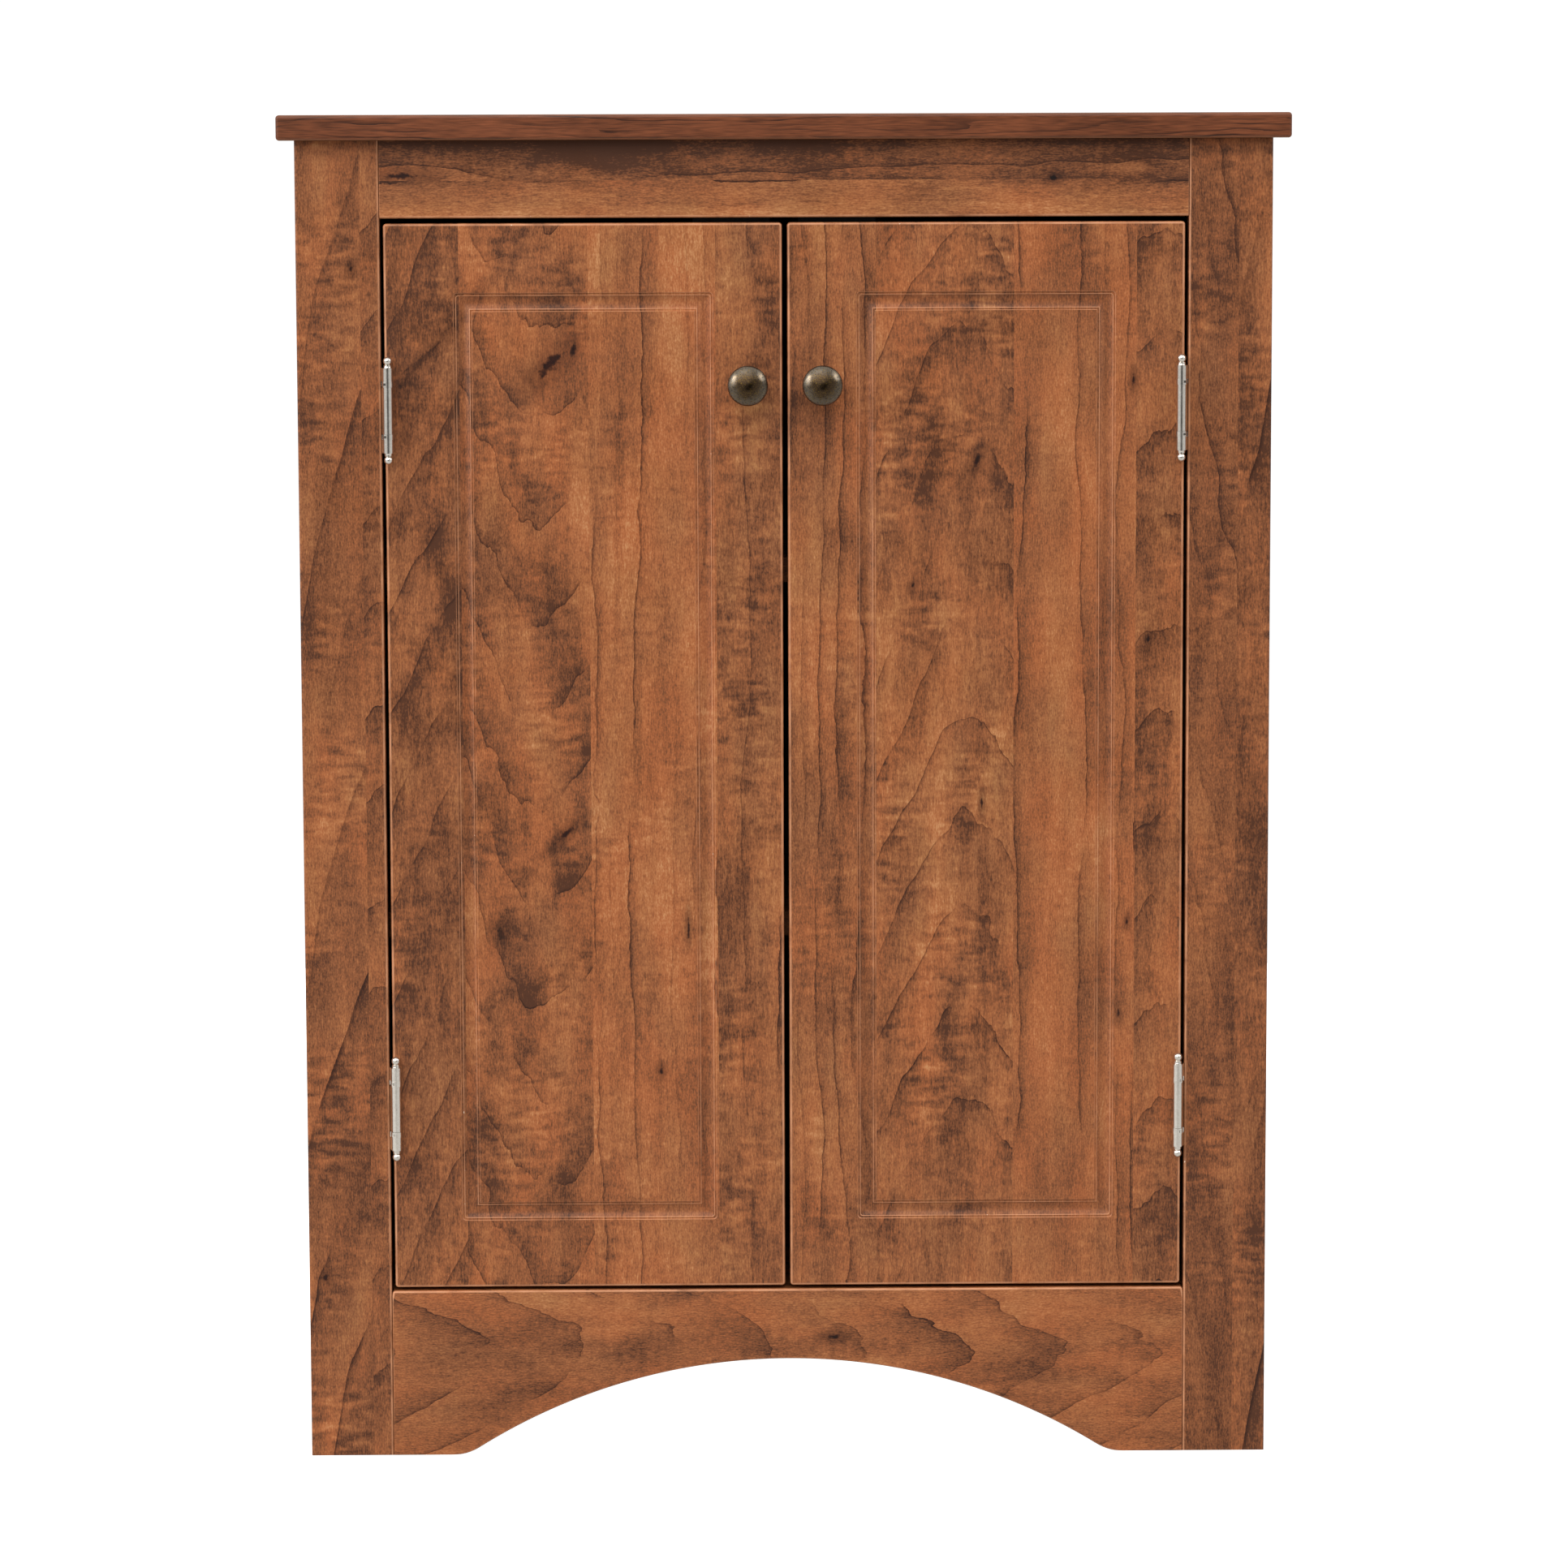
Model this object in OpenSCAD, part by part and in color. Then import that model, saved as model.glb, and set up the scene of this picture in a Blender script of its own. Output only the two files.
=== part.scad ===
// Two-door floor cabinet with an overhanging top, a face frame with an arched apron,
// two inset doors on ball-tipped flush hinges, and two lift-out shelves.
// Millimetres. X runs across the front, Y from front to back, Z up from the floor.

/* [Overall] */
// Width across the two stiles
body_w = 580; // [440:10:760]
// Height from the floor to the upper face of the top
body_h = 810; // [640:10:1040]
// Depth from the front of the stiles to the back of the cabinet
body_d = 290; // [220:10:400]

/* [Boards] */
// Thickness of the sides, frame, doors, bottom and shelves
board_t = 15; // [12:1:19]
// Thickness of the top
top_t = 15; // [12:1:28]
// How far the top stands out past the sides and the front
top_overhang = 10; // [4:1:25]
// Thickness of the hardboard back
back_t = 3; // [3:0.5:6]
// Rounding of the edges of the top
top_edge_r = 2; // [1:0.5:4]
// Rounding of the front edges of the frame and the doors
front_edge_r = 1.5; // [0.5:0.5:3]

/* [Face frame] */
// Width of each stile
stile_w = 50; // [38:1:70]
// Height of the top rail
top_rail_h = 46; // [40:1:90]
// Height of the apron at its ends
apron_h = 102; // [84:1:140]
// Rise of the apron's arch above the floor
arch_rise = 58.7; // [20:0.1:66]
// Distance between the outer edge of the arch and the inner edge of the stile, at the floor
arch_inset = 45; // [40:1:80]
// Radius that rounds each toe of the arch
arch_toe_r = 30; // [10:1:40]

/* [Doors] */
// Gap between a door and the stile that it hangs on
hinge_gap = 2; // [1.6:0.1:3]
// Gap between the two doors
middle_gap = 3; // [2:0.5:5]
// Gap above the doors
door_top_gap = 3; // [2:0.5:5]
// Gap below the doors
door_bottom_gap = 2; // [1.5:0.5:5]
// Rounding of each door's corners, seen from the front
door_corner_r = 2; // [1:0.5:5]
// Distance from a door's edge to the middle of its routed groove
groove_inset = 46.7; // [35:0.1:65]
// Width of the routed groove
groove_w = 10.8; // [8:0.1:14]
// Width of the narrow ledge along each side of the groove
ledge_w = 1.4; // [0.8:0.1:2]
// Depth of the ledge
ledge_depth = 0.8; // [0.4:0.1:1.5]
// Depth of the groove in its middle
groove_depth = 2.4; // [1.8:0.1:4]

/* [Knobs] */
// Diameter of the knob's head
knob_d = 24; // [20:0.5:30]
// How far the knob stands out from the door
knob_reach = 22; // [20:0.5:30]
// Distance from the knob's middle to the free edge of its door
knob_edge_inset = 20.7; // [16:0.1:30]
// Distance from the knob's middle down from the top of its door
knob_drop = 96; // [40:1:300]

/* [Hinges] */
// Distance from the middle of a hinge to the nearer end of the door
hinge_inset = 110.5; // [60:0.5:140]
// Diameter of the two knuckles on the frame leaf
end_knuckle_d = 6.2; // [5.6:0.1:7.4]
// Diameter of the middle knuckle on the door leaf
mid_knuckle_d = 5.8; // [5.2:0.1:7]
// Length of each end knuckle
end_knuckle_l = 8; // [6:0.5:12]
// Length of the middle knuckle
mid_knuckle_l = 27.6; // [20:0.2:40]
// Length of the ring between two knuckles
ring_l = 3.4; // [2.4:0.1:5]
// Distance from the stile's inner edge to the hinge pin
pin_inset = 4.1; // [3.8:0.1:5]
// Gap between the rings of a hinge and the face of the stile
knuckle_gap = 0.6; // [0.4:0.1:1.5]
// Diameter of the hinge pin
pin_d = 3; // [2.4:0.1:3.4]

/* [Shelves] */
// Height of the lower shelf's underside above the floor
lower_shelf_z = 315; // [260:5:320]
// Height of the upper shelf's underside above the floor
upper_shelf_z = 530; // [500:5:540]
// Gap at each end and behind each shelf
shelf_gap = 1; // [0.5:0.5:3]
// Distance between two neighbouring shelf pin holes
pin_hole_pitch = 32; // [25:1:40]

/* [Catches] */
// Width of each magnetic catch
catch_w = 46; // [40:1:52]
// Distance from the middle of the cabinet to the middle of each catch
catch_offset = 31.5; // [28:0.5:60]

/* [Hidden] */
$fn = 64;

// Overlap that carries a cut cleanly past a face
eps = 1;
// Clearance all round a fastener in its hole
fit = 0.05;
// Clearance all round a screw or bolt that only passes through a board
loose_fit = 0.4;
// Gap between two flat faces that slide past each other
face_gap = 0.1;

// Cabinet
top_z = body_h - top_t;
half_w = body_w / 2;
side_in = half_w - board_t;
opening_half = half_w - stile_w;
opening_top = top_z - top_rail_h;
carcass_d = body_d - back_t;
bottom_z = apron_h - board_t;
rail_mid_z = top_z - top_rail_h / 2;
rear_rail_h = 60;
batten_d = 40;
back_inset = 1;
joint_y = board_t / 2;
side_joint_x = half_w - board_t / 2;

// Arch: a circle through its crown and its two ends on the floor
arch_half_span = opening_half - arch_inset;
arch_r = (arch_half_span ^ 2 + arch_rise ^ 2) / (2 * arch_rise);
arch_centre_z = arch_rise - arch_r;
toe_x = sqrt((arch_r + arch_toe_r) ^ 2 - (arch_toe_r - arch_centre_z) ^ 2);
toe_share = arch_r / (arch_r + arch_toe_r);
toe_start = [toe_x * toe_share, arch_centre_z + (arch_toe_r - arch_centre_z) * toe_share];

// Doors
door_w = opening_half - hinge_gap - middle_gap / 2;
door_z = apron_h + door_bottom_gap;
door_top = opening_top - door_top_gap;
door_h = door_top - door_z;
door_mid_x = middle_gap / 2 + door_w / 2;
groove_half = groove_w / 2;
cove_half = groove_half - ledge_w;
cove_sag = groove_depth - ledge_depth;
cove_r = (cove_half ^ 2 + cove_sag ^ 2) / (2 * cove_sag);

// Knobs: a dome that runs smoothly into a rounded rim, on a waisted shank
knob_x = middle_gap / 2 + knob_edge_inset;
knob_z = door_top - knob_drop;
knob_rim_r = 2.4;
knob_dome_r = 16;
knob_rim_x = knob_d / 2 - knob_rim_r;
knob_dome_y = knob_reach - knob_dome_r;
knob_rim_y = knob_dome_y + sqrt((knob_dome_r - knob_rim_r) ^ 2 - knob_rim_x ^ 2);
knob_wedge = 1.6;
knob_core_y = knob_reach - 2;
knob_foot_r = 5.5;
knob_foot_l = 1.2;
knob_waist_r = 4;
knob_waist_y = 3;
knob_screw_r = 2;
knob_screw_depth = 9;
knob_screw_head_r = 4;
knob_screw_head_l = 2.4;

// Hinges, measured from the middle of each hinge
leaf_t = hinge_gap - 2 * face_gap;
leaf_neck_inset = 0.2;
leaf_depth = board_t - 1;
mid_leaf_depth = 10.4;
leaf_slot_gap = 0.6;
pin_x = opening_half - pin_inset;
ring_d = end_knuckle_d + 0.4;
ring_window = 1.5;
ring_window_x = 1.8;
bush_d = pin_d + 1.2;
pin_reach = ring_d / 2 + knuckle_gap;
mid_end = mid_knuckle_l / 2;
ring_end = mid_end + ring_l;
knuckle_end = ring_end + end_knuckle_l;
collar_d = 4.8;
collar_l = 2.9;
ball_r = 2.6;
ball_centre = 1.3;
finial_bore = 2.5;
pin_tip_gap = 0.3;
hinge_z = [door_z + hinge_inset, door_top - hinge_inset];
leaf_screw_y = 7;
mid_leaf_screw_y = 5.6;
mid_leaf_screw_z = 8;
leaf_screw_r = 1.4;
leaf_screw_head_r = 2.9;
leaf_screw_l = 13;

// Shelves and their pins
shelf_front = board_t + 10;
shelf_pin_y = [shelf_front + 40, carcass_d - 52];
shelf_pin_r = 2.5;
shelf_pin_hole = 9;
shelf_pin_tip_gap = 0.5;
shelf_pin_collar_r = 4;
shelf_pin_collar_t = 1.2;
shelf_pin_stub_r = 3.4;
shelf_pin_stub_l = 8;
shelf_pin_drop = 2.5;

// Catches, on the underside of the batten behind the top rail
catch_y = board_t + 1.6;
catch_d = 14;
catch_h = 15;
catch_ear_l = 8;
catch_ear_t = 3.5;
catch_block_w = catch_w - 2 * catch_ear_l;
catch_ear_x = catch_block_w / 2 + catch_ear_l / 2;
magnet_w = 22;
magnet_d = 10;
magnet_t = 5;
magnet_drop = 9;
pole_t = 1.2;
pole_reach = 0.4;
strike_w = 30;
strike_h = 11;
strike_t = 1;
strike_r = 2;
strike_screw_head_r = 2.8;
strike_screw_l = 9;
catch_screw_r = 1.5;
catch_screw_head_r = 2.9;
catch_screw_head_l = 1.8;
catch_screw_grip = 9;

// Fasteners of the carcass
dowel_r = 4;
dowel_l = 30;
dowel_grip = 10;
cam_r = 7.4;
cam_l = board_t / 2 + 4.5;
cam_setback = 24;
cam_slot_l = 8;
cam_slot_w = 1.4;
cam_slot_depth = 2.4;
cam_bolt_r = 3;
cam_bolt_head_r = 3.4;
cam_bolt_head_l = 3;
cam_cavity_r = cam_bolt_head_r + 0.5;
cam_bolt_grip = 10;
nail_r = 0.8;
nail_l = 18;
nail_head_r = 2;
nail_head_l = 0.8;
nail_margin = 38;
side_nail_gaps = 6;
cross_nail_step = 0.42 * side_in;
head_cross_w = 0.7;
head_cross_depth = 1;
head_cross_share = 1.1;
pan_dome_share = 1.6;
screw_tip_l = 2;
screw_tip_r = 0.3;
side_y = [60, carcass_d - 47];
cam_y = [110, carcass_d - 97];
frame_dowel_z = [30, apron_h - 27, rail_mid_z - 12, rail_mid_z + 12];
rear_dowel_z = [top_z - rear_rail_h + 15, top_z - 15];
stile_dowel_z = [150, top_z / 2 + 20, top_z - 105];
stile_cam_z = [130, top_z / 2 + 60, top_z - 60];

// The origin is on the floor, midway between the front of the knobs and the nail heads on the back
face_y = (knob_reach - body_d - nail_head_l) / 2;

wood = [0.57, 0.35, 0.23];
dark_wood = [0.47, 0.28, 0.18];
raw_wood = [0.80, 0.66, 0.47];
nickel = [0.80, 0.78, 0.75];
bronze = [0.25, 0.22, 0.18];
steel = [0.62, 0.63, 0.65];
black = [0.08, 0.08, 0.08];
ferrite = [0.2, 0.2, 0.2];

// ---- Helpers ----

// Moves what is drawn from the front of the stiles into the cabinet's own frame
module from_face() {
    translate([0, face_y, 0]) children();
}

// Draws its children on the left, as given, and mirrored on the right
module both_sides() {
    children();
    mirror([1, 0, 0]) children();
}

// Turns a shape drawn along +Z so that it runs along +X
module along_x() {
    rotate([0, 90, 0]) children();
}

// Turns a shape drawn along +Z so that it runs along +Y
module along_y() {
    rotate([-90, 0, 0]) children();
}

// Box between two corners
module box(low, high) {
    translate(low) cube(high - low);
}

// Rectangle centred on the origin with rounded corners
module rounded_rect(w, h, r) {
    square([w, h - 2 * r], center = true);
    square([w - 2 * r, h], center = true);
    for (sx = [-1, 1], sy = [-1, 1]) translate([sx * (w / 2 - r), sy * (h / 2 - r)]) circle(r);
}

// A board seen end on: front at y = 0, its two front corners rounded
module front_rounded_outline(w, t, r) {
    translate([-w / 2, r]) square([w, t - r]);
    translate([r - w / 2, 0]) square([w - 2 * r, t]);
    for (side = [-1, 1]) translate([side * (w / 2 - r), r]) circle(r);
}

// ---- Fasteners and their holes ----

// Dowel that reaches into both boards; grow enlarges it into its own hole
module dowel(grow, before) {
    translate([0, 0, -before - grow]) cylinder(r = dowel_r + grow, h = dowel_l + 2 * grow);
}

// Stile to top rail and to apron, on the left
module frame_dowels(grow) {
    for (z = frame_dowel_z) translate([-opening_half, joint_y, z]) along_x() dowel(grow, dowel_l / 2);
}

// Apron to bottom panel
module apron_dowels(grow) {
    for (x = [-opening_half / 2, opening_half / 2])
        translate([x, board_t, bottom_z + board_t / 2]) along_y() dowel(grow, dowel_grip);
}

// Stile to side panel, on the left
module stile_dowels(grow) {
    for (z = stile_dowel_z) translate([-side_joint_x, board_t, z]) along_y() dowel(grow, dowel_grip);
}

// Side panel to bottom panel, on the left
module bottom_dowels(grow) {
    for (y = side_y) translate([-side_in, y, bottom_z + board_t / 2]) along_x() dowel(grow, dowel_grip);
}

// Side panel to top panel, on the left
module top_dowels(grow) {
    for (y = side_y) translate([-side_joint_x, y, top_z]) mirror([0, 0, 1]) dowel(grow, dowel_grip);
}

// Side panel to catch batten and to rear rail, on the left
module rail_dowels(grow) {
    translate([-side_in, board_t + batten_d / 2, opening_top + board_t / 2])
        along_x() dowel(grow, dowel_grip);
    for (z = rear_dowel_z) translate([-side_in, carcass_d - board_t / 2, z])
        along_x() dowel(grow, dowel_grip);
}

// Disc-shaped nut of a cam fastener: its open face at z = 0, and its bolt hole towards -X
module cam_nut() {
    difference() {
        translate([0, 0, -cam_l]) cylinder(r = cam_r, h = cam_l);
        translate([0, 0, -board_t / 2]) {
            mirror([1, 0, 0]) along_x() cylinder(r = cam_cavity_r, h = cam_r + eps);
            sphere(cam_cavity_r);
        }
        for (turn = [0, 90]) rotate(turn) cube([cam_slot_l, cam_slot_w, 2 * cam_slot_depth], center = true);
    }
}

// Hole for a cam nut
module cam_nut_hole() {
    translate([0, 0, -cam_l - fit]) cylinder(r = cam_r + fit, h = cam_l + fit + eps);
}

// Bolt of a cam fastener, from the middle of its nut through the joint; grow enlarges it
module cam_bolt(grow) {
    cylinder(r = cam_bolt_r + grow, h = cam_setback + cam_bolt_grip + grow);
    translate([0, 0, -cam_bolt_head_l / 2]) cylinder(r = cam_bolt_head_r, h = cam_bolt_head_l);
}

// The three sets of cam fasteners on the left: the nut's open face at z = 0, the joint towards -X
module at_top_cams() {
    for (y = cam_y) translate([-side_in, y, top_z - cam_setback]) rotate([0, 90, 0]) children();
}

module at_bottom_cams() {
    for (y = cam_y) translate([-side_in + cam_setback, y, bottom_z]) rotate([180, 0, 0]) children();
}

module at_stile_cams() {
    for (z = stile_cam_z) translate([-side_in, board_t + cam_setback, z]) rotate([90, 0, 90]) children();
}

// Bolt set along the nut's -X, half a board below its open face
module placed_cam_bolt(grow) {
    translate([0, 0, -board_t / 2]) rotate([0, -90, 0]) cam_bolt(grow);
}

// Nail through the back, its head proud of the back's outer face; grow enlarges it
module nail(grow) {
    translate([0, back_t, 0]) rotate([90, 0, 0]) cylinder(r = nail_r + grow, h = nail_l + grow);
}

module at_nails() {
    low = apron_h + nail_margin;
    step = (top_z - nail_margin - low) / side_nail_gaps;
    for (i = [0:side_nail_gaps], side = [-1, 1])
        translate([side * side_joint_x, carcass_d, low + i * step]) children();
    for (i = [-2:2], z = [bottom_z + board_t / 2, top_z - rear_rail_h / 2])
        translate([i * cross_nail_step, carcass_d, z]) children();
}

// Cross recess in a screw's head, whose outer face is at z = 0
module head_cross(head_r) {
    for (turn = [0, 90]) rotate(turn)
        cube([head_r * head_cross_share, head_cross_w, 2 * head_cross_depth], center = true);
}

// Countersunk screw: flat of its head at z = 0, its point towards +Z
module countersunk_screw(shaft_r, head_r, length) {
    difference() {
        union() {
            cylinder(r1 = head_r, r2 = shaft_r, h = head_r - shaft_r);
            cylinder(r = shaft_r, h = length - screw_tip_l);
            translate([0, 0, length - screw_tip_l])
                cylinder(r1 = shaft_r, r2 = screw_tip_r, h = screw_tip_l);
        }
        head_cross(head_r);
    }
}

// Straight hole with a countersink, for the screw above
module countersunk_hole(shaft_r, head_r, length) {
    cylinder(r1 = head_r + fit, r2 = shaft_r + fit, h = head_r - shaft_r);
    translate([0, 0, -eps]) cylinder(r = head_r + fit, h = eps);
    cylinder(r = shaft_r + fit, h = length + fit);
}

// Pan head screw: underside of its head at z = 0, its point towards +Z
module pan_screw(shaft_r, head_r, head_l, length) {
    difference() {
        union() {
            intersection() {
                translate([0, 0, -head_l]) cylinder(r = head_r, h = head_l);
                translate([0, 0, head_r * pan_dome_share - head_l]) sphere(head_r * pan_dome_share);
            }
            cylinder(r = shaft_r, h = length);
        }
        translate([0, 0, -head_l]) head_cross(head_r);
    }
}

// ---- Carcass ----

module top_panel() {
    depth = body_d + top_overhang;
    width = body_w + 2 * top_overhang;
    mid_y = (body_d - top_overhang) / 2;
    color(dark_wood) from_face() difference() {
        intersection() {
            translate([0, mid_y, top_z]) linear_extrude(top_t) rounded_rect(width, depth, top_edge_r);
            translate([0, body_d, top_z + top_t / 2]) rotate([90, 0, 0])
                linear_extrude(depth) rounded_rect(width, top_t, top_edge_r);
            translate([-width / 2, mid_y, top_z + top_t / 2]) rotate([90, 0, 90])
                linear_extrude(width) rounded_rect(depth, top_t, top_edge_r);
        }
        both_sides() {
            top_dowels(fit);
            at_top_cams() placed_cam_bolt(fit);
        }
    }
}

module side_panel() {
    color(wood) from_face() difference() {
        box([-half_w, board_t, 0], [-side_in, carcass_d, top_z]);
        stile_dowels(fit);
        bottom_dowels(fit);
        top_dowels(fit);
        rail_dowels(fit);
        at_top_cams() cam_nut_hole();
        at_top_cams() placed_cam_bolt(loose_fit);
        at_stile_cams() cam_nut_hole();
        at_stile_cams() placed_cam_bolt(loose_fit);
        at_bottom_cams() placed_cam_bolt(fit);
        at_nails() nail(fit);
        for (shelf_z = [lower_shelf_z, upper_shelf_z], step = [-1:1])
            at_shelf_pins(shelf_z + step * pin_hole_pitch)
                translate([0, 0, -shelf_pin_hole]) cylinder(r = shelf_pin_r + fit, h = shelf_pin_hole + eps);
    }
}

module bottom_panel() {
    color(wood) from_face() difference() {
        box([-side_in, board_t, bottom_z], [side_in, carcass_d, apron_h]);
        apron_dowels(fit);
        at_nails() nail(fit);
        both_sides() {
            bottom_dowels(fit);
            at_bottom_cams() cam_nut_hole();
            at_bottom_cams() placed_cam_bolt(loose_fit);
        }
    }
}

module back_panel() {
    color(raw_wood) from_face() difference() {
        box([back_inset - half_w, carcass_d, bottom_z], [half_w - back_inset, body_d, top_z]);
        at_nails() nail(fit);
    }
}

module rear_rail() {
    color(wood) from_face() difference() {
        box([-side_in, carcass_d - board_t, top_z - rear_rail_h], [side_in, carcass_d, top_z]);
        both_sides() rail_dowels(fit);
        at_nails() nail(fit);
    }
}

module catch_batten() {
    color(wood) from_face() difference() {
        box([-side_in, board_t, opening_top], [side_in, board_t + batten_d, opening_top + board_t]);
        both_sides() rail_dowels(fit);
        at_catch_screws() cylinder(r = catch_screw_r + fit, h = catch_screw_grip + fit);
    }
}

// ---- Face frame ----

module stile() {
    color(wood) from_face() difference() {
        translate([stile_w / 2 - half_w, 0, 0])
            linear_extrude(top_z) front_rounded_outline(stile_w, board_t, front_edge_r);
        frame_dowels(fit);
        stile_dowels(fit);
        at_stile_cams() placed_cam_bolt(fit);
        for (z = hinge_z) translate([0, 0, z])
            at_frame_leaf_screws() countersunk_hole(leaf_screw_r, leaf_screw_head_r, leaf_screw_l);
    }
}

module top_rail() {
    color(wood) from_face() difference() {
        union() {
            box([-opening_half, front_edge_r, opening_top], [opening_half, board_t, top_z]);
            box([-opening_half, 0, opening_top + front_edge_r], [opening_half, board_t, top_z]);
            translate([-opening_half, front_edge_r, opening_top + front_edge_r])
                along_x() cylinder(r = front_edge_r, h = 2 * opening_half);
        }
        both_sides() frame_dowels(fit);
    }
}

// Front view of the space under the arch, with its rounded toes
module arch_outline() {
    translate([0, arch_centre_z]) circle(arch_r, $fn = 128);
    for (side = [0, 1]) mirror([side, 0]) difference() {
        polygon([toe_start, [toe_start.x, -eps], [toe_x, -eps], [toe_x, arch_toe_r]]);
        translate([toe_x, arch_toe_r]) circle(arch_toe_r);
    }
}

module apron() {
    color(wood) from_face() difference() {
        union() {
            box([-opening_half, front_edge_r, 0], [opening_half, board_t, apron_h]);
            box([-opening_half, 0, 0], [opening_half, board_t, apron_h - front_edge_r]);
            translate([-opening_half, front_edge_r, apron_h - front_edge_r])
                along_x() cylinder(r = front_edge_r, h = 2 * opening_half);
        }
        translate([0, board_t + eps, 0]) rotate([90, 0, 0])
            linear_extrude(board_t + 2 * eps) arch_outline();
        both_sides() frame_dowels(fit);
        apron_dowels(fit);
    }
}

// ---- Doors ----

// Section of the routed groove: a shallow ledge at each side and a cove between, face of the door at y = 0
module groove_section() {
    translate([-groove_half, -eps]) square([groove_w, ledge_depth + eps]);
    intersection() {
        translate([0, groove_depth - cove_r]) circle(cove_r);
        translate([-cove_half, 0]) square([2 * cove_half, groove_depth + eps]);
    }
}

// The whole groove, as a cutter leaves it: square inner corners, round outer ones
module groove(half_x, half_z) {
    for (side = [-1, 1]) {
        translate([side * half_x, 0, -half_z]) linear_extrude(2 * half_z) groove_section();
        translate([-half_x, 0, side * half_z]) along_x() linear_extrude(2 * half_x) groove_section();
        for (end = [-1, 1]) translate([side * half_x, 0, end * half_z]) along_y() rotate_extrude()
            intersection() {
                groove_section();
                translate([0, -2 * eps]) square([groove_w, groove_depth + 4 * eps]);
            }
    }
}

module door() {
    color(wood) from_face() difference() {
        translate([-door_mid_x, 0, door_z + door_h / 2]) difference() {
            intersection() {
                translate([0, 0, -door_h / 2])
                    linear_extrude(door_h) front_rounded_outline(door_w, board_t, front_edge_r);
                translate([-door_w / 2, 0, 0]) along_x()
                    linear_extrude(door_w) front_rounded_outline(door_h, board_t, front_edge_r);
                translate([0, board_t, 0]) rotate([90, 0, 0])
                    linear_extrude(board_t) rounded_rect(door_w, door_h, door_corner_r);
            }
            groove(door_w / 2 - groove_inset, door_h / 2 - groove_inset);
        }
        translate([-knob_x, -eps, knob_z])
            along_y() cylinder(r = knob_screw_r + loose_fit, h = board_t + 2 * eps);
        at_strike() countersunk_hole(catch_screw_r, strike_screw_head_r, strike_screw_l);
        for (z = hinge_z) translate([0, 0, z])
            at_door_leaf_screws() countersunk_hole(leaf_screw_r, leaf_screw_head_r, leaf_screw_l);
    }
}

// Half section of the knob, its foot at y = 0 and its front at y = knob_reach
module knob_section() {
    intersection() {
        translate([0, knob_dome_y]) circle(knob_dome_r);
        polygon([[0, knob_dome_y], [0, knob_reach + eps],
                 knob_wedge * [knob_rim_x, knob_rim_y - knob_dome_y] + [0, knob_dome_y]]);
    }
    translate([knob_rim_x, knob_rim_y]) circle(knob_rim_r);
    polygon([[0, knob_dome_y], [knob_waist_r, knob_dome_y], [knob_rim_x, knob_rim_y - knob_rim_r],
             [knob_rim_x, knob_rim_y], [0, knob_core_y]]);
    polygon([[0, 0], [knob_foot_r, 0], [knob_foot_r, knob_foot_l], [knob_waist_r, knob_waist_y],
             [knob_waist_r, knob_dome_y + eps], [0, knob_dome_y + eps]]);
}

module knob() {
    color(bronze) from_face() translate([-knob_x, 0, knob_z]) rotate([90, 0, 0]) difference() {
        rotate_extrude() knob_section();
        translate([0, 0, -eps]) cylinder(r = knob_screw_r + fit, h = knob_screw_depth + eps);
    }
}

module knob_screw() {
    color(steel) from_face() translate([-knob_x, board_t, knob_z]) rotate([90, 0, 0])
        pan_screw(knob_screw_r, knob_screw_head_r, knob_screw_head_l, board_t + knob_screw_depth - 1);
}

// ---- Hinges, on the left ----

// One stretch of a leaf: its plate in the gap, the neck, and the knuckle rolled around the pin
module leaf_stretch(plate_x, knuckle_r, depth, length) {
    linear_extrude(length)
        polygon([[plate_x, depth], [plate_x + leaf_t, depth], [plate_x + leaf_t, 0],
                 [-pin_x, -pin_reach], [leaf_neck_inset - pin_x - knuckle_r, -pin_reach], [plate_x, 0]]);
    translate([-pin_x, -pin_reach, 0]) cylinder(r = knuckle_r, h = length);
}

module pin_bore(length) {
    translate([-pin_x, -pin_reach, -eps]) cylinder(r = pin_d / 2 + fit, h = length + 2 * eps);
}

module at_frame_leaf_screws() {
    for (side = [-1, 1])
        translate([leaf_t - opening_half, leaf_screw_y, side * (ring_end + end_knuckle_l / 2)])
            mirror([1, 0, 0]) along_x() children();
}

module at_door_leaf_screws() {
    for (side = [-1, 1])
        translate([hinge_gap - leaf_t - opening_half, mid_leaf_screw_y, side * mid_leaf_screw_z])
            along_x() children();
}

// Leaf on the stile: two end knuckles, and a plate with a slot that the door's leaf folds into
module frame_leaf(z) {
    color(nickel) from_face() translate([0, 0, z]) difference() {
        union() {
            for (start = [ring_end, -knuckle_end]) translate([0, 0, start])
                leaf_stretch(-opening_half, end_knuckle_d / 2, leaf_depth, end_knuckle_l);
            box([-opening_half, mid_leaf_depth + leaf_slot_gap, -knuckle_end],
                [leaf_t - opening_half, leaf_depth, knuckle_end]);
            for (flip = [0, 1]) mirror([0, 0, flip])
                box([-opening_half, 0, mid_end + leaf_slot_gap],
                    [leaf_t - opening_half, leaf_depth, knuckle_end]);
        }
        translate([0, 0, -knuckle_end]) pin_bore(2 * knuckle_end);
        at_frame_leaf_screws() countersunk_hole(leaf_screw_r, leaf_screw_head_r, leaf_screw_l);
    }
}

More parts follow.
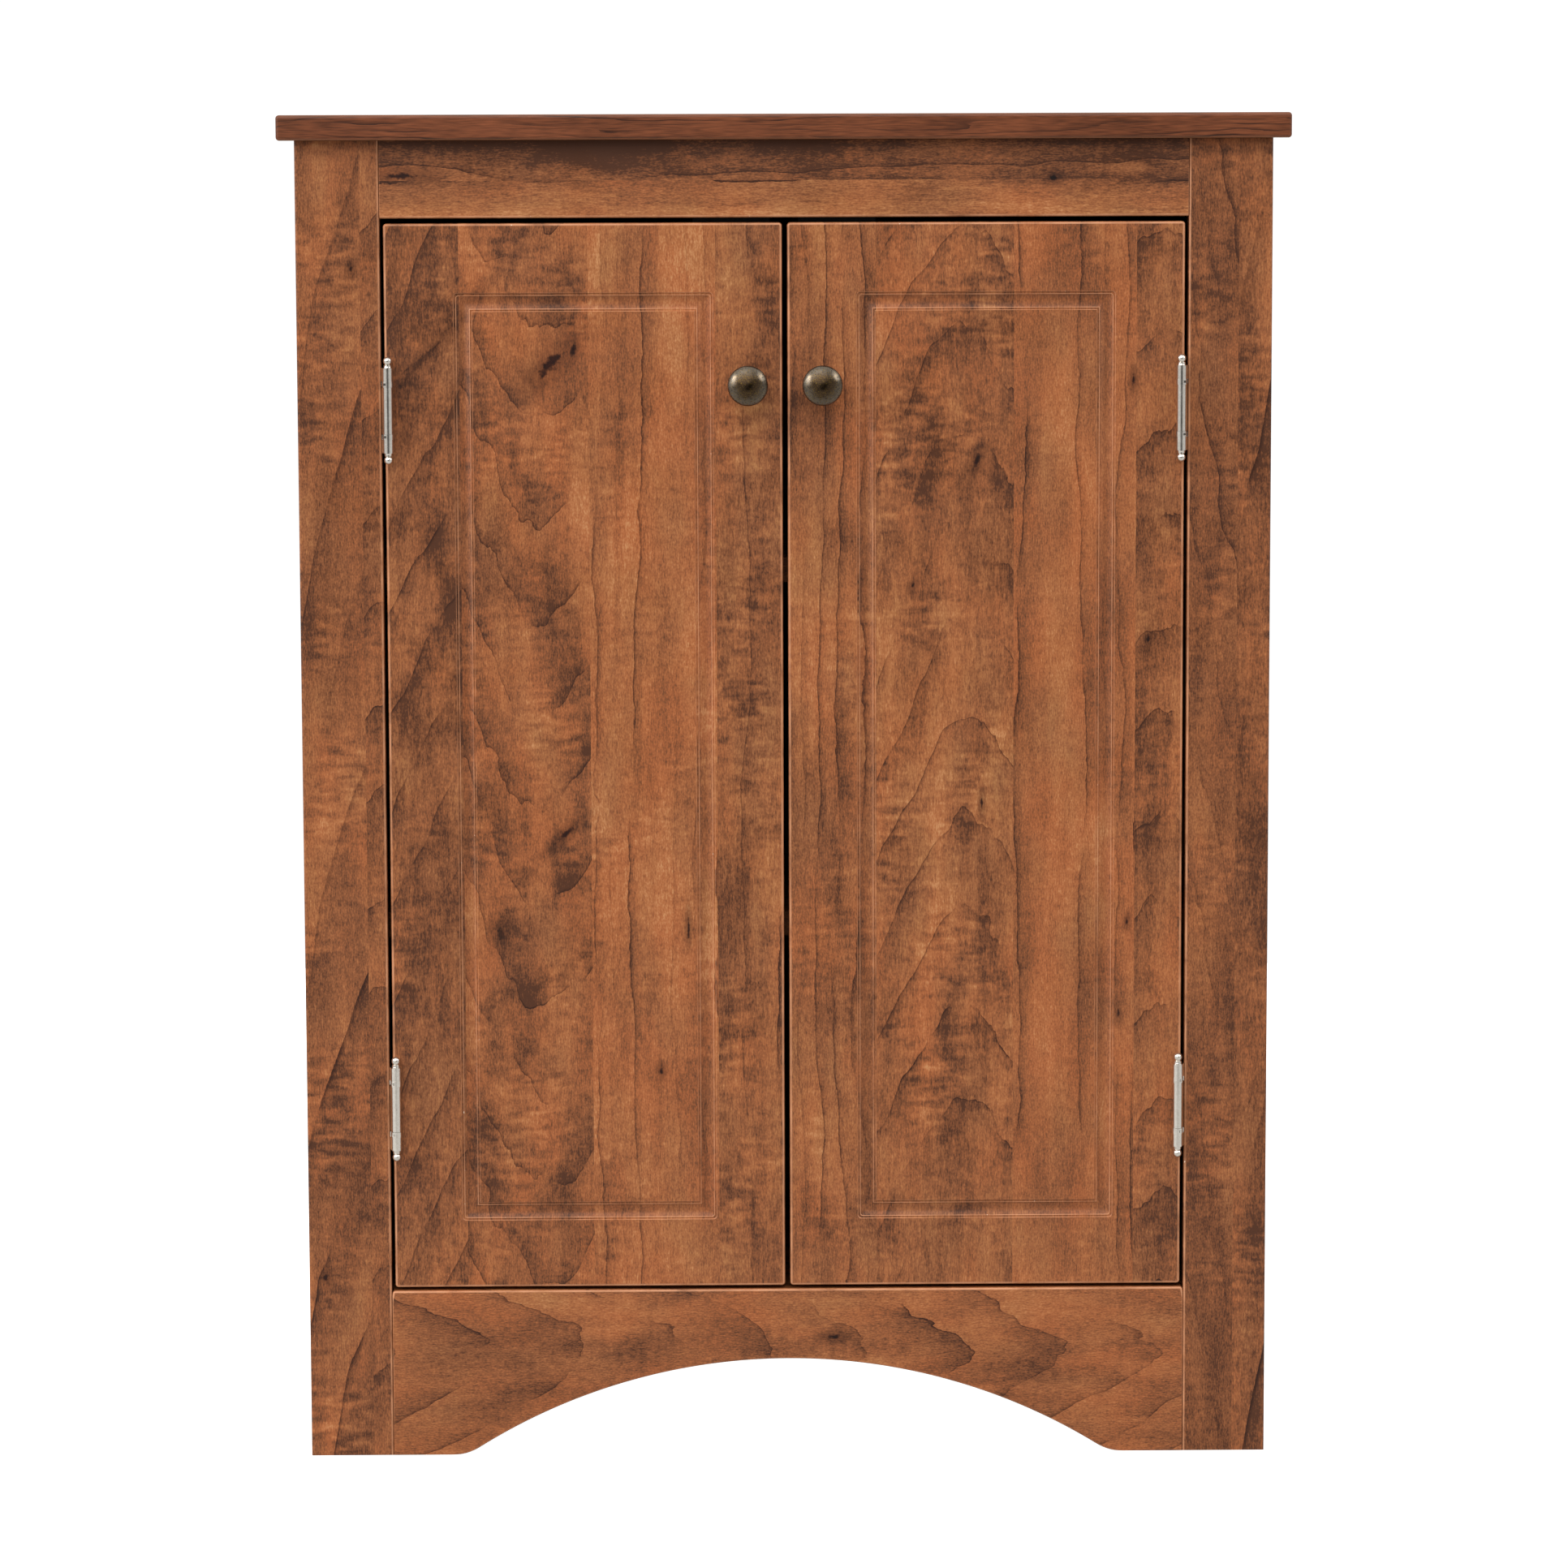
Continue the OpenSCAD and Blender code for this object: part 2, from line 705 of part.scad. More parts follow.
// Leaf on the door: the middle knuckle and a plate that folds into the frame leaf's slot
module door_leaf(z) {
    plate_x = hinge_gap - leaf_t - opening_half;
    color(nickel) from_face() translate([0, 0, z]) difference() {
        translate([0, 0, -mid_end])
            leaf_stretch(plate_x, mid_knuckle_d / 2, mid_leaf_depth, mid_knuckle_l);
        translate([0, 0, -mid_end]) pin_bore(mid_knuckle_l);
        at_door_leaf_screws() countersunk_hole(leaf_screw_r, leaf_screw_head_r, leaf_screw_l);
    }
}

module hinge_pin(z) {
    reach = knuckle_end + finial_bore - pin_tip_gap;
    color(nickel) from_face() translate([-pin_x, -pin_reach, z - reach])
        cylinder(r = pin_d / 2, h = 2 * reach);
}

module at_hinge_ends() {
    for (z = hinge_z, flip = [0, 1]) translate([-pin_x, -pin_reach, z]) mirror([0, 0, flip]) children();
}

// Ball finial with its collar, over the end of the pin
module hinge_finials() {
    color(nickel) from_face() both_sides() at_hinge_ends() translate([0, 0, knuckle_end]) difference() {
        union() {
            cylinder(r = collar_d / 2, h = collar_l);
            translate([0, 0, collar_l + ball_centre]) sphere(ball_r);
        }
        translate([0, 0, -eps]) cylinder(r = pin_d / 2 + fit, h = finial_bore + eps);
        translate([0, 0, -ball_r]) cylinder(r = ball_r, h = ball_r);
    }
}

// Ring between an end knuckle and the middle one, with a square window on the stile's side
module hinge_rings() {
    color(nickel) from_face() both_sides() at_hinge_ends() translate([0, 0, mid_end + face_gap])
    difference() {
        cylinder(r = ring_d / 2, h = ring_l - face_gap);
        translate([0, 0, -eps]) cylinder(r = bush_d / 2 + fit, h = ring_l + 2 * eps);
        translate([-ring_window_x, -ring_d / 2, ring_l / 2])
            cube([ring_window, ring_d / 2, ring_window], center = true);
    }
}

// Dark plastic bush inside each ring
module hinge_bushes() {
    color(black) from_face() both_sides() at_hinge_ends() translate([0, 0, mid_end + face_gap])
    difference() {
        cylinder(r = bush_d / 2, h = ring_l - face_gap);
        translate([0, 0, -eps]) cylinder(r = pin_d / 2 + fit, h = ring_l + 2 * eps);
    }
}

module frame_leaf_screws() {
    color(nickel) from_face() both_sides() for (z = hinge_z) translate([0, 0, z])
        at_frame_leaf_screws() countersunk_screw(leaf_screw_r, leaf_screw_head_r, leaf_screw_l);
}

module door_leaf_screws() {
    color(nickel) from_face() for (z = hinge_z) translate([0, 0, z])
        at_door_leaf_screws() countersunk_screw(leaf_screw_r, leaf_screw_head_r, leaf_screw_l);
}

// ---- Shelves ----

module shelf(z) {
    color(wood) from_face()
        box([shelf_gap - side_in, shelf_front, z],
            [side_in - shelf_gap, carcass_d - shelf_gap, z + board_t]);
}

// Frames for the pins under a shelf on the left, z pointing out of the side panel into the cabinet
module at_shelf_pins(z) {
    for (y = shelf_pin_y) translate([-side_in, y, z - shelf_pin_drop]) along_x() children();
}

// Pin with a flat on its upper side, which the shelf rests on
module shelf_pins(z) {
    color(steel) from_face() both_sides() at_shelf_pins(z) {
        translate([0, 0, shelf_pin_tip_gap - shelf_pin_hole])
            cylinder(r = shelf_pin_r, h = shelf_pin_hole - shelf_pin_tip_gap + eps);
        difference() {
            union() {
                cylinder(r = shelf_pin_collar_r, h = shelf_pin_collar_t);
                cylinder(r = shelf_pin_stub_r, h = shelf_pin_stub_l);
            }
            box([-2 * shelf_pin_collar_r, -shelf_pin_collar_r - eps, -eps],
                [-shelf_pin_drop, shelf_pin_collar_r + eps, shelf_pin_stub_l + eps]);
        }
    }
}

// ---- Catches, on the left ----

// Frame of the left catch: x = 0 at its middle, y = 0 at its front, z = 0 at the batten's underside
module at_catch() {
    translate([-catch_offset, catch_y, opening_top]) children();
}

module at_catch_screws() {
    both_sides() at_catch() for (side = [-1, 1])
        translate([side * catch_ear_x, catch_d / 2, 0]) children();
}

module magnet_pocket(grow) {
    box([-magnet_w / 2 - grow, -eps, -magnet_drop - magnet_t / 2 - pole_t - grow],
        [magnet_w / 2 + grow, magnet_d + grow, -magnet_drop + magnet_t / 2 + pole_t + grow]);
}

module catch_housing() {
    color(black) from_face() difference() {
        at_catch() difference() {
            union() {
                box([-catch_block_w / 2, 0, -catch_h], [catch_block_w / 2, catch_d, 0]);
                box([-catch_w / 2, 0, -catch_ear_t], [catch_w / 2, catch_d, 0]);
            }
            magnet_pocket(fit);
        }
        at_catch_screws() translate([0, 0, -catch_ear_t - eps])
            cylinder(r = catch_screw_r + loose_fit, h = catch_ear_t + 2 * eps);
    }
}

module catch_magnet() {
    color(ferrite) from_face() at_catch()
        box([-magnet_w / 2, 0, -magnet_drop - magnet_t / 2],
            [magnet_w / 2, magnet_d, magnet_t / 2 - magnet_drop]);
}

// The two steel plates that the magnet is held between, a little proud of the housing
module catch_poles() {
    color(steel) from_face() at_catch() for (low = [-magnet_t / 2 - pole_t, magnet_t / 2])
        box([-magnet_w / 2, -pole_reach, low - magnet_drop],
            [magnet_w / 2, magnet_d, low + pole_t - magnet_drop]);
}

module catch_screws() {
    color(steel) from_face() at_catch_screws() translate([0, 0, -catch_ear_t])
        pan_screw(catch_screw_r, catch_screw_head_r, catch_screw_head_l, catch_ear_t + catch_screw_grip);
}

// Frame of the left strike plate's outer face, z pointing into the door
module at_strike() {
    translate([-catch_offset, board_t + strike_t, opening_top - magnet_drop]) rotate([90, 0, 0]) children();
}

module strike_plate() {
    color(steel) from_face() at_strike() difference() {
        linear_extrude(strike_t) rounded_rect(strike_w, strike_h, strike_r);
        countersunk_hole(catch_screw_r, strike_screw_head_r, strike_screw_l);
    }
}

module strike_screw() {
    color(steel) from_face() at_strike()
        countersunk_screw(catch_screw_r, strike_screw_head_r, strike_screw_l);
}

// ---- Carcass fasteners ----

module dowels() {
    color(raw_wood) from_face() {
        apron_dowels(0);
        both_sides() {
            frame_dowels(0);
            stile_dowels(0);
            bottom_dowels(0);
            top_dowels(0);
            rail_dowels(0);
        }
    }
}

module cam_nuts() {
    color(steel) from_face() both_sides() {
        at_top_cams() cam_nut();
        at_bottom_cams() cam_nut();
        at_stile_cams() cam_nut();
    }
}

module cam_bolts() {
    color(steel) from_face() both_sides() {
        at_top_cams() placed_cam_bolt(0);
        at_bottom_cams() placed_cam_bolt(0);
        at_stile_cams() placed_cam_bolt(0);
    }
}

module back_panel_nails() {
    color(steel) from_face() at_nails() {
        nail(0);
        translate([0, back_t, 0]) along_y() cylinder(r = nail_head_r, h = nail_head_l);
    }
}

top_panel();
side_panel();  // left_side_panel
mirror([1, 0, 0]) side_panel();  // right_side_panel
bottom_panel();
back_panel();
rear_rail();
stile();  // left_stile
mirror([1, 0, 0]) stile();  // right_stile
top_rail();
apron();
catch_batten();
door();  // left_door
mirror([1, 0, 0]) door();  // right_door
shelf(upper_shelf_z);  // upper_shelf
shelf(lower_shelf_z);  // lower_shelf
shelf_pins(upper_shelf_z);  // upper_shelf_pins
shelf_pins(lower_shelf_z);  // lower_shelf_pins
knob();  // left_knob
mirror([1, 0, 0]) knob();  // right_knob
knob_screw();  // left_knob_screw
mirror([1, 0, 0]) knob_screw();  // right_knob_screw
frame_leaf(hinge_z[1]);  // left_upper_frame_leaf
frame_leaf(hinge_z[0]);  // left_lower_frame_leaf
mirror([1, 0, 0]) frame_leaf(hinge_z[1]);  // right_upper_frame_leaf
mirror([1, 0, 0]) frame_leaf(hinge_z[0]);  // right_lower_frame_leaf
door_leaf(hinge_z[1]);  // left_upper_door_leaf
door_leaf(hinge_z[0]);  // left_lower_door_leaf
mirror([1, 0, 0]) door_leaf(hinge_z[1]);  // right_upper_door_leaf
mirror([1, 0, 0]) door_leaf(hinge_z[0]);  // right_lower_door_leaf
hinge_pin(hinge_z[1]);  // left_upper_hinge_pin
hinge_pin(hinge_z[0]);  // left_lower_hinge_pin
mirror([1, 0, 0]) hinge_pin(hinge_z[1]);  // right_upper_hinge_pin
mirror([1, 0, 0]) hinge_pin(hinge_z[0]);  // right_lower_hinge_pin
hinge_finials();
hinge_rings();
hinge_bushes();
frame_leaf_screws();
door_leaf_screws();  // left_door_leaf_screws
mirror([1, 0, 0]) door_leaf_screws();  // right_door_leaf_screws
catch_housing();  // left_catch_housing
mirror([1, 0, 0]) catch_housing();  // right_catch_housing
catch_magnet();  // left_catch_magnet
mirror([1, 0, 0]) catch_magnet();  // right_catch_magnet
catch_poles();  // left_catch_poles
mirror([1, 0, 0]) catch_poles();  // right_catch_poles
catch_screws();
strike_plate();  // left_strike_plate
mirror([1, 0, 0]) strike_plate();  // right_strike_plate
strike_screw();  // left_strike_screw
mirror([1, 0, 0]) strike_screw();  // right_strike_screw
dowels();
cam_nuts();
cam_bolts();
back_panel_nails();
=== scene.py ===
"""Two-door floor cabinet in foil-wrapped board: its surfaces, edges and fittings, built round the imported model.

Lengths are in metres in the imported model's own frame: X runs across the front, Y from front to back, Z up from
the floor. Sizes that are easier to read in millimetres are multiplied by MM.
"""

import logging
import math
from collections.abc import Callable, Sequence
from dataclasses import dataclass, field
from enum import Enum

import bmesh
import bpy
from mathutils import Matrix, Vector


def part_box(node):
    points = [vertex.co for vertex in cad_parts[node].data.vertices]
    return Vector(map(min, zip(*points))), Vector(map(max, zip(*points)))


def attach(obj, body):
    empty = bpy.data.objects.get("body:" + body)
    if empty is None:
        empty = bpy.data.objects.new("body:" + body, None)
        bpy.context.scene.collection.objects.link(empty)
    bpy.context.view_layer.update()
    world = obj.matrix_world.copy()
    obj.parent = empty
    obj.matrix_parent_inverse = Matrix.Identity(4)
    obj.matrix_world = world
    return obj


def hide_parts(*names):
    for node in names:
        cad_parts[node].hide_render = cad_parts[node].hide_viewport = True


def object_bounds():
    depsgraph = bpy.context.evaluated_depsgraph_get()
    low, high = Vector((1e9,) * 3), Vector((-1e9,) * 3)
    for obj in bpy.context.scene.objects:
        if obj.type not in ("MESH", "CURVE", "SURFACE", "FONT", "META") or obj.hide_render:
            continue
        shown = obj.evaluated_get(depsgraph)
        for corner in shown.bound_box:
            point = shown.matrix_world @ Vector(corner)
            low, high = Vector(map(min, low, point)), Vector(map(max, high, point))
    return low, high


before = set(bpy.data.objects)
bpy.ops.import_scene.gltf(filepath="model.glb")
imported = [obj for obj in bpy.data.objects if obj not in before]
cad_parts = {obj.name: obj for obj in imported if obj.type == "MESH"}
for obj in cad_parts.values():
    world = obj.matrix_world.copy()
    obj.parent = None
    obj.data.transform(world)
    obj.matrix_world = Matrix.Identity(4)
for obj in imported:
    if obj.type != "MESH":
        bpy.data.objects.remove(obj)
CAD_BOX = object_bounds()

MM = 0.001
WEAR_AND_LIGHT = "worn"  # the attribute that says how pale or dark each point of a board is painted: positive values are partly wear and partly painted highlight, negative ones are painted shade
WEAR_AND_LIGHT_REACH = 0.25 * MM  # how far the pale paint of wear and painted highlight fades out beyond a rounding
ROUNDING_WEAR_AND_LIGHT = (0.0, 0.0, 0.35, 0.9, 1.0, 0.25)  # pale paint of each step of a rounding, from the side to the face: partly wear and partly painted highlight
CORNER_STEPS = 8
EDGE_ON = 0.71  # a face turned further than this towards an axis is a board's edge, about the cosine of 45 degrees
SHARPEST_SMOOTH = math.radians(34)
MERGE = 0.001 * MM
BACK_BAND = 2 * MM  # depth of the ring of faces next to a board's back
NOISE_REACH: tuple[float, float] = (0.3, 0.7)  # noise seldom goes further down or up
SMOOTH = {"interpolation_type": "SMOOTHSTEP"}
BLEND = {"out": 2, "data_type": "RGBA"}
LOG = logging.getLogger("cabinet")

Socket = bpy.types.NodeSocket
Tree = bpy.types.NodeTree
Point = tuple[float, float]
Place = tuple[float, float, float]


class Side(Enum):
    """Which of the two doors a piece belongs to."""

    LEFT = "left"
    RIGHT = "right"


# ---------------------------------------------------------------- colour and nodes


def linear(hex_colour: str) -> tuple[float, float, float, float]:
    """Turns an sRGB hex colour into Blender's linear colour.

    Args:
        hex_colour: Six hex digits after a hash, such as "#8a5a3c".

    Returns:
        Red, green, blue and an alpha of one.
    """
    parts = [int(hex_colour[i : i + 2], 16) / 255 for i in (1, 3, 5)]
    red, green, blue = (c / 12.92 if c <= 0.04045 else ((c + 0.055) / 1.055) ** 2.4 for c in parts)
    return red, green, blue, 1.0


def per(length_mm: float) -> float:
    """Gives how many features of that length in millimetres lie in one metre."""
    return 1000 / length_mm


def add(tree: Tree, kind: str, inputs: dict | list | None = None, out: int | str = 0, **settings: object) -> Socket:
    """Adds a node, sets it up, and links or sets its inputs.

    Args:
        tree: The node tree that the node goes into.
        kind: The node's type name.
        inputs: Input name or index to a value, or to the output socket that feeds it. A list fills the inputs
            from the first one on.
        out: Name or index of the output to hand back.
        **settings: The node's own properties.

    Returns:
        The chosen output socket.
    """
    made = tree.nodes.new(kind)
    for name, value in settings.items():
        setattr(made, name, value)
    given = dict(enumerate(inputs)) if isinstance(inputs, list) else inputs or {}
    for key, value in given.items():
        if isinstance(value, Socket):
            tree.links.new(value, made.inputs[key])
        else:
            made.inputs[key].default_value = value
    return made.outputs[out] if len(made.outputs) else None


def new_material(name: str) -> tuple[bpy.types.Material, Tree, bpy.types.Node]:
    """Starts a material.

    Args:
        name: Name of the material.

    Returns:
        The material, its node tree and its shader.
    """
    made = bpy.data.materials.new(name)
    made.use_nodes = True
    return made, made.node_tree, made.node_tree.nodes["Principled BSDF"]


def new_object(name: str, data: bpy.types.ID) -> bpy.types.Object:
    """Puts a mesh, a light or a camera into the scene.

    Args:
        name: Name of the object.
        data: What it holds.

    Returns:
        The object.
    """
    made = bpy.data.objects.new(name, data)
    bpy.context.scene.collection.objects.link(made)
    return made


def stops(socket: Socket, points: Sequence[tuple[float, Sequence[float]]], steps: bool = False) -> Socket:
    """Sets the stops of the colour ramp that a socket belongs to.

    Args:
        socket: A colour ramp's output.
        points: Position and linear colour of each stop, in rising order.
        steps: True for plain steps, False for smooth changes.

    Returns:
        The same socket.
    """
    ramp = socket.node.color_ramp
    ramp.interpolation = "CONSTANT" if steps else "LINEAR"
    while len(ramp.elements) > 1:
        ramp.elements.remove(ramp.elements[-1])
    ramp.elements[0].position, ramp.elements[0].color = points[0][0], (*points[0][1][:3], 1)
    for position, colour in points[1:]:
        ramp.elements.new(position).color = (*colour[:3], 1)
    return socket


# ---------------------------------------------------------------- wood


class Lie(Enum):
    """How a board lies: the axes across its grain, along its grain and through its thickness."""

    UPRIGHT_FRONT = (0, 2, 1)
    CROSSWISE_FRONT = (2, 0, 1)
    UPRIGHT_SIDE = (1, 2, 0)
    FLAT = (1, 0, 2)


@dataclass(frozen=True)
class Plank:
    """One strip of the print that a board's foil carries.

    Args:
        start: Where it begins across the grain, from the board's lower edge, in mm.
        tone: How much lighter than the rest it is.
        red: 0 for a yellowish brown, 1 for a reddish one.
        arch: 0 for straight grain, 1 for arches that point up or to the right, -1 for the other way.
        crown: Where the arches' crown lies across the grain, in mm.
        smoke: How strong its dark clouds are.
        figure: How strong its cross ripple is.
    """

    start: float
    tone: float = 0.0
    red: float = 0.5
    arch: float = 0.0
    crown: float = 0.0
    smoke: float = 0.4
    figure: float = 0.4


@dataclass(frozen=True)
class Knot:
    """A knot or a mineral streak of the print, in mm from the board's lower corner."""

    across: float
    along: float
    half_width: float
    half_length: float
    lean: float = 0.0
    depth: float = 1.0


@dataclass(frozen=True)
class Mottle:
    """An uneven tone whose patches have a real size.

    Args:
        wide: Size of a patch across the grain, in mm.
        long: Size of a patch along the grain, in mm.
        detail: How many finer layers it has.
        share: How much it adds to the tone.
        roughness: How strong the finer layers are.
        curl: How much it is bent.
    """

    wide: float
    long: float
    detail: float = 2.0
    share: float = 1.0
    roughness: float = 0.5
    curl: float = 0.0

    def draw(self, t: Tree, place: Socket) -> Socket:
        """Draws the mottle.

        Args:
            t: The node tree.
            place: Place on the board in metres, across and along its grain.

        Returns:
            Tone from 0 to 1.
        """
        scaled = add(t, "ShaderNodeVectorMath", [place, (per(self.wide), per(self.long), 1)], operation="MULTIPLY")
        inputs = {"Vector": scaled, "Scale": 1.0, "Detail": self.detail}
        inputs |= {"Roughness": self.roughness, "Distortion": self.curl}
        return add(t, "ShaderNodeTexNoise", inputs)


@dataclass(frozen=True)
class Wander:
    """How far a mottle moves the grain lines, in mm across and along the grain."""

    mottle: Mottle
    aside: float
    ahead: float


@dataclass(frozen=True)
class CherryPrint:
    """The rustic cherry picture on the foil, drawn once as a node group that every wooden finish shares.

    Lengths are in mm. Its grain lines are drawn a little wider than the print's own 0.6 mm, so that they show.
    """

    line_gap: float = 12.0
    arch_gap: float = 58.0
    leg_gap: float = 24.0
    crown_r: float = 24.0
    wanders: tuple[Wander, ...] = (
        Wander(Mottle(60, 230), 30.0, 0.0),
        Wander(Mottle(18, 42), 8.0, 34.0),
        Wander(Mottle(2.4, 4.5), 1.5, 3.0),
    )
    line_width: float = 1.6
    line_chance: float = 1.3
    arch_least: float = 0.65
    line_patch: Mottle = Mottle(22, 100, 3)
    line_patch_edge: Point = (0.36, 0.56)
    shade_reach: float = 0.8
    shade_fall: float = 1.7
    shade_share: float = -0.38
    fibre: Mottle = Mottle(0.6, 4.5, 1, 0.66)
    tones: tuple[Mottle, ...] = (
        Mottle(1.5, 7, 2, 0.38),
        Mottle(0.8, 1.5, 1, 0.68),
        Mottle(4.2, 70, 2, 0.28),
        Mottle(26, 110, 2, 0.95),
    )
    ripple: Mottle = Mottle(15, 5, 1, 1.25, curl=0.3)
    ripple_patch: Mottle = Mottle(48, 60)
    ripple_patch_edge: Point = (0.40, 0.66)
    ripple_least: float = 0.15
    cloud: Mottle = Mottle(30, 52, 4, -0.38, roughness=0.6, curl=0.6)
    cloud_grain: Mottle = Mottle(5, 3.5, 3, 0.17, roughness=0.65)
    cloud_edge: Point = (0.53, 0.84)
    hue: Mottle = Mottle(24, 60, 3, 2.4)
    line_relief: float = -0.5
    seed_shift: float = 1.37
    ring_shift: float = 31.7
    dark: str = "#4c2b19"
    shade: str = "#724327"
    red_body: str = "#955530"
    red_light: str = "#a9643a"
    tan_body: str = "#8e5936"
    tan_light: str = "#a06b40"
    pale: str = "#bb8356"
    line: str = "#8f7a6c"
    knot: str = "#4a3426"

    def group(self) -> Tree:
        """Builds the node group, or finds it if it is there already.

        Returns:
            The shared node group.
        """
        name = "rustic cherry print"
        if name in bpy.data.node_groups:
            return bpy.data.node_groups[name]
        t = bpy.data.node_groups.new(name, "ShaderNodeTree")
        labels = ("Across", "Along", "Seed", "Tone", "Red", "Arch", "Crown", "Smoke", "Figure", "Knot", "Bend")
        for label in labels:
            t.interface.new_socket(label, in_out="INPUT", socket_type="NodeSocketFloat")
        t.interface.new_socket("Color", in_out="OUTPUT", socket_type="NodeSocketColor")
        t.interface.new_socket("Height", in_out="OUTPUT", socket_type="NodeSocketFloat")
        ins = t.nodes.new("NodeGroupInput").outputs
        shift = add(t, "ShaderNodeMath", [ins["Seed"], self.seed_shift], operation="MULTIPLY")
        place = add(t, "ShaderNodeCombineXYZ", [ins["Across"], ins["Along"], shift])
        lines, shading = self._rings(t, ins, place)
        fibre = self.fibre.draw(t, place)
        tone = add(t, "ShaderNodeMath", [ins["Tone"], 0.5], operation="ADD")
        parts = [(fibre, self.fibre.share)]
        parts += [(mottle.draw(t, place), mottle.share) for mottle in self.tones]
        parts.append((self._ripple(t, ins, place), self.ripple.share))
        for part, share in parts:
            centred = add(t, "ShaderNodeMath", [part, 0.5], operation="SUBTRACT")
            tone = add(t, "ShaderNodeMath", [centred, share, tone], operation="MULTIPLY_ADD")
        for part, share in ((self._clouds(t, ins, place), self.cloud.share), (shading, self.shade_share)):
            tone = add(t, "ShaderNodeMath", [part, share, tone], operation="MULTIPLY_ADD")
        red = self._inks(t, tone, self.red_body, self.red_light)
        tan = self._inks(t, tone, self.tan_body, self.tan_light)
        inputs = [self.hue.draw(t, place), self.hue.share, -self.hue.share / 2]
        hue = add(t, "ShaderNodeMath", inputs, operation="MULTIPLY_ADD")
        hue = add(t, "ShaderNodeMath", [hue, ins["Red"]], operation="ADD", use_clamp=True)
        colour = add(t, "ShaderNodeMix", {0: hue, 6: tan, 7: red}, **BLEND)
        inked = add(t, "ShaderNodeMath", [lines, 1.0], operation="MULTIPLY", use_clamp=True)
        for amount, ink in ((inked, self.line), (ins["Knot"], self.knot)):
            inputs = {0: amount, 6: colour, 7: linear(ink)}
            colour = add(t, "ShaderNodeMix", inputs, blend_type="MULTIPLY", **BLEND)
        height = add(t, "ShaderNodeMath", [lines, self.line_relief, fibre], operation="MULTIPLY_ADD")
        made = t.nodes.new("NodeGroupOutput")
        t.links.new(colour, made.inputs["Color"])
        t.links.new(height, made.inputs["Height"])
        return t

    def _inks(self, t: Tree, tone: Socket, body: str, light: str) -> Socket:
        """Turns the tone into the foil's colour, from its darkest to its palest ink.

        Args:
            t: The node tree.
            tone: 0 for dark, 1 for pale.
            body: The middle colour.
            light: The colour above it.

        Returns:
            The colour.
        """
        inks = ((0.0, self.dark), (0.24, self.shade), (0.5, body), (0.72, light), (1.0, self.pale))
        ramp = add(t, "ShaderNodeValToRGB", [tone])
        return stops(ramp, [(at, linear(ink)) for at, ink in inks])

    def _rings(self, t: Tree, ins: bpy.types.NodeOutputs, place: Socket) -> tuple[Socket, Socket]:
        """Draws the growth rings as they run out on the face: thin dark lines with a soft shade on one side.

        Where the grain is straight, the rings are stripes across the board. Where it is arched, they are
        hyperbolas round the crown, so that they close over it and run down as legs beside it.

        Args:
            t: The node tree.
            ins: The group's inputs.
            place: Place on the board in metres.

        Returns:
            The thin lines, and the shade beside them.
        """
        across = add(t, "ShaderNodeMath", [ins["Across"], ins["Bend"]], operation="ADD")
        across = add(t, "ShaderNodeMath", [across, ins["Crown"]], operation="SUBTRACT")
        along = ins["Along"]
        for wander in self.wanders:
            centred = add(t, "ShaderNodeMath", [wander.mottle.draw(t, place), 0.5], operation="SUBTRACT")
            across = add(t, "ShaderNodeMath", [centred, wander.aside * MM, across], operation="MULTIPLY_ADD")
            along = add(t, "ShaderNodeMath", [centred, wander.ahead * MM, along], operation="MULTIPLY_ADD")
        arched = add(t, "ShaderNodeMath", [ins["Arch"]], operation="ABSOLUTE")
        plain = add(t, "ShaderNodeMath", [1.0, arched], operation="SUBTRACT")
        square = add(t, "ShaderNodeMath", [across, across, (self.crown_r * MM) ** 2], operation="MULTIPLY_ADD")
        limb = add(t, "ShaderNodeMath", [square], operation="SQRT")
        ring = add(t, "ShaderNodeMath", [plain, per(self.line_gap)], operation="MULTIPLY")
        slope = add(t, "ShaderNodeMath", [ring], operation="ABSOLUTE")
        ring = add(t, "ShaderNodeMath", [ring, across], operation="MULTIPLY")
        legs = add(t, "ShaderNodeMath", [arched, per(self.leg_gap)], operation="MULTIPLY")
        leg = add(t, "ShaderNodeMath", [legs, limb], operation="MULTIPLY")
        ring = add(t, "ShaderNodeMath", [ring, leg], operation="SUBTRACT")
        rise = add(t, "ShaderNodeMath", [ins["Arch"], -per(self.arch_gap)], operation="MULTIPLY")
        ring = add(t, "ShaderNodeMath", [rise, along, ring], operation="MULTIPLY_ADD")
        lean = add(t, "ShaderNodeMath", [across, limb], operation="DIVIDE")
        lean = add(t, "ShaderNodeMath", [lean], operation="ABSOLUTE")
        slope = add(t, "ShaderNodeMath", [legs, lean, slope], operation="MULTIPLY_ADD")
        slopes = add(t, "ShaderNodeCombineXYZ", [slope, rise])
        slope = add(t, "ShaderNodeVectorMath", [slopes], out="Value", operation="LENGTH")
        phase = add(t, "ShaderNodeMath", [ring], operation="FRACT")
        number = add(t, "ShaderNodeMath", [ring], operation="FLOOR")
        number = add(t, "ShaderNodeMath", [ins["Seed"], self.ring_shift, number], operation="MULTIPLY_ADD")
        each = add(t, "ShaderNodeTexWhiteNoise", {"W": number}, noise_dimensions="1D")
        least = add(t, "ShaderNodeMath", [arched, self.arch_least], operation="MULTIPLY")
        each = add(t, "ShaderNodeMath", [each, self.line_chance], operation="POWER")
        each = add(t, "ShaderNodeMath", [each, least], operation="MAXIMUM")
        fade = add(t, "ShaderNodeMapRange", [self.line_patch.draw(t, place), *self.line_patch_edge], **SMOOTH)
        strength = add(t, "ShaderNodeMath", [each, fade], operation="MULTIPLY")
